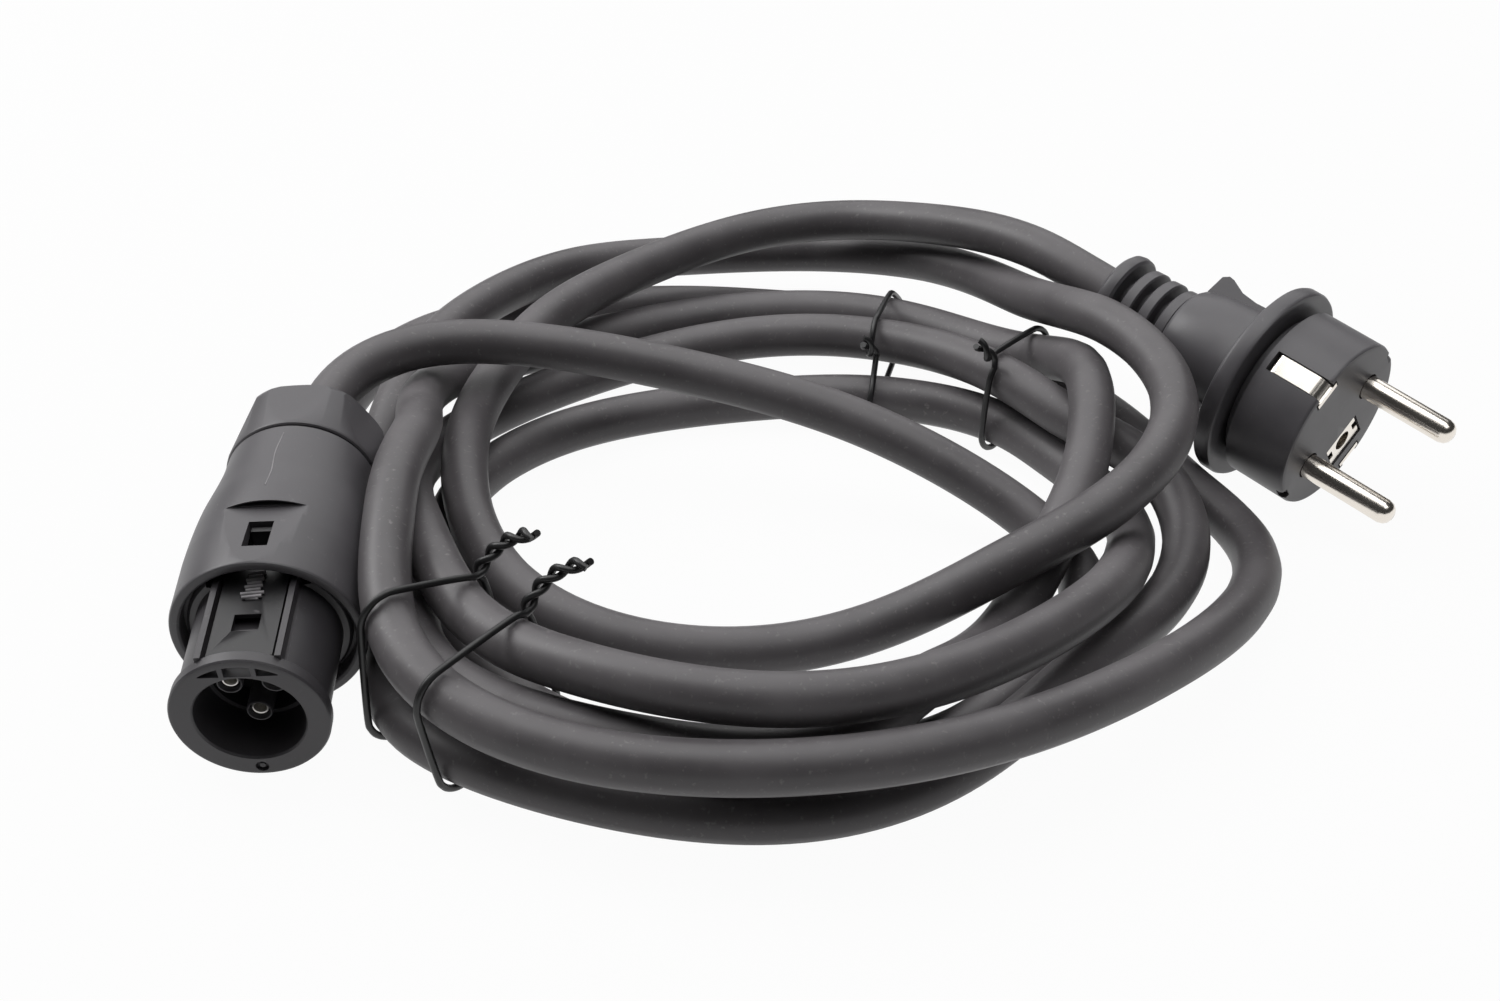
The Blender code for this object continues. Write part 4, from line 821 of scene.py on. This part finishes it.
dressed(plug_body, plug_rubber, "cord_set", ["plug_body"], edge=0.25)
plug_pieces = [plug_body]

# Plug pins: two round brass pins with rounded noses, moulded into the plug's front.
# They are nickel plated and polished.
# Nickel plate: a warm bright mirror of the studio, its tint and gloss drifting softly over about 7 mm
nickel_plate, tree, gloss, coords = shader("polished_nickel_plate")
drift = noise(tree, coords, 7, 1.0)
feed(tree, gloss, {
    "Base Color": blend(tree, drift, "e6dfd5", "f1ebe3"),
    "Roughness": stretch(tree, drift, target=(0.18, 0.26)),
    "Metallic": 1.0,
})
pin = [(0.0, -19.0), (0.9, -18.95), (1.6, -18.6), (2.1, -18.0), (2.4, -17.0), (2.4, 11.0), (1.25, 11.0),
       (1.25, 7.0), (0.0, 7.0)]
for role, x in (("line", -PIN_X), ("neutral", PIN_X)):
    bm = turned(pin, 56, ring=False)
    bmesh.ops.translate(bm, verts=bm.verts, vec=(x, 0, 0))
    made = placed(f"{role}_plug_pin", bm, PLUG)
    plug_pieces.append(dressed(made, nickel_plate, "cord_set", [f"{role}_pin"]))

# Earth clips and plate: spring strips bowed in the side slots and a drilled plate in the face opening.
# All three are stamped from nickel-plated bronze strip under a millimetre thick.
CLIP_HALF = 1.9
CLIP_THICK = 0.9
bow = [(11.8, 15.2), (11.5, 16.3), (10.6, 16.7), (6.0, 16.8), (2.0, 16.7), (1.1, 16.2), (0.4, 15.3)]
bow = smooth_curve(bow, 28)
for name, side in (("earth_clip_upper", 1), ("earth_clip_lower", -1)):
    outer = [(-CLIP_HALF, along, side * up) for along, up in bow]
    inner = [(-CLIP_HALF, along, side * (up - CLIP_THICK)) for along, up in bow[::-1]]
    strip = placed(f"{name}_strip", pushed(outer + inner, (2 * CLIP_HALF, 0, 0)), PLUG)
    foot = slab((-2.8, 2.8), (-0.1, 0.7), sorted((side * 14.2, side * 15.4)))
    carved(strip, [foot], "UNION", PLUG)
    plug_pieces.append(dressed(strip, nickel_plate, "cord_set", [name], edge=0.12, segments=2))
plate = slab((-4.4, 4.4), (0.3, 1.1), (-EARTH_DOWN - 3.4, -EARTH_DOWN + 3.4))
plate = placed("earth_face_plate", plate, PLUG)
carved(plate, [bar(2.7, (0, 0.8, -EARTH_DOWN), (0, 6.6, -EARTH_DOWN), 32)], "UNION", PLUG)
cuts = [bar(2.0, (0, -1, -EARTH_DOWN), (0, 5, -EARTH_DOWN), 32)]
for side in (-1, 1):
    cuts.append(slab(sorted((side * 3.2, side * 5.0)), (0.0, 1.3), (-EARTH_DOWN - 1.1, -EARTH_DOWN + 1.1)))
carved(plate, cuts, place=PLUG)
plug_pieces.append(dressed(plate, nickel_plate, "cord_set", ["earth_plate"], edge=0.1, segments=2))

# Plug grip: the soft handle moulded over the cores, with a round collar and two thumb wings.
# Behind it the ribbed sleeve bends with the cable and ends in a rounded bead.
WING_HALF = 3.6
SLEEVE_START = 37.3
SLEEVE_RIBS = 3
RIB_PITCH = 4.3
SLEEVE_BORE = 4.7
grip = placed("plug_handle", turned([
    (11.7, 15.3), (18.9, 15.3), (19.6, 15.6), (19.9, 16.2), (19.9, 18.3), (19.6, 18.9), (18.9, 19.3),
    (14.0, 19.5), (12.6, 19.9), (11.8, 20.8), (11.5, 22.0), (11.3, 26.0), (11.0, 30.0), (10.5, 33.0),
    (9.8, 36.0), (9.0, 37.0), (SLEEVE_BORE, 37.0), (SLEEVE_BORE, 36.0), (8.0, 33.0), (8.0, 22.3),
    (11.7, 18.5),
]), PLUG)
wing_side = [(8.9, 22.5), (11.9, 22.8), (11.7, 27.0), (12.1, 30.5), (13.5, 33.6), (13.7, 34.8), (12.9, 36.0),
             (8.9, 36.7)]
wings = []
for side in (-1, 1):
    outline = [(side * out, along, -WING_HALF) for out, along in wing_side]
    wings.append(pushed(outline, (0, 0, 2 * WING_HALF)))
carved(grip, wings, "UNION", PLUG)
plug_pieces.append(dressed(grip, plug_rubber, "cord_set", ["plug_grip"], edge=0.6))
sleeve = [(SLEEVE_BORE, SLEEVE_START)]
for k in range(SLEEVE_RIBS):
    low = SLEEVE_START + RIB_PITCH * k
    sleeve += [(7.9, low), (8.2, low + 0.25), (8.1, low + 2.2), (7.8, low + 2.5), (5.1, low + 2.6),
               (5.1, low + RIB_PITCH)]
sleeve += [(8.5, 50.3), (9.0, 50.8), (9.2, 51.8), (9.0, 52.9), (8.3, 53.6), (7.3, RELIEF_END),
           (SLEEVE_BORE, RELIEF_END)]
made = placed("plug_bend_sleeve", turned(sleeve, 96), PLUG)
plug_pieces.append(dressed(made, plug_rubber, "cord_set", ["strain_relief"]))
plug_pieces += [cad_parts[f"plug_core_{role}"] for role in CORES]
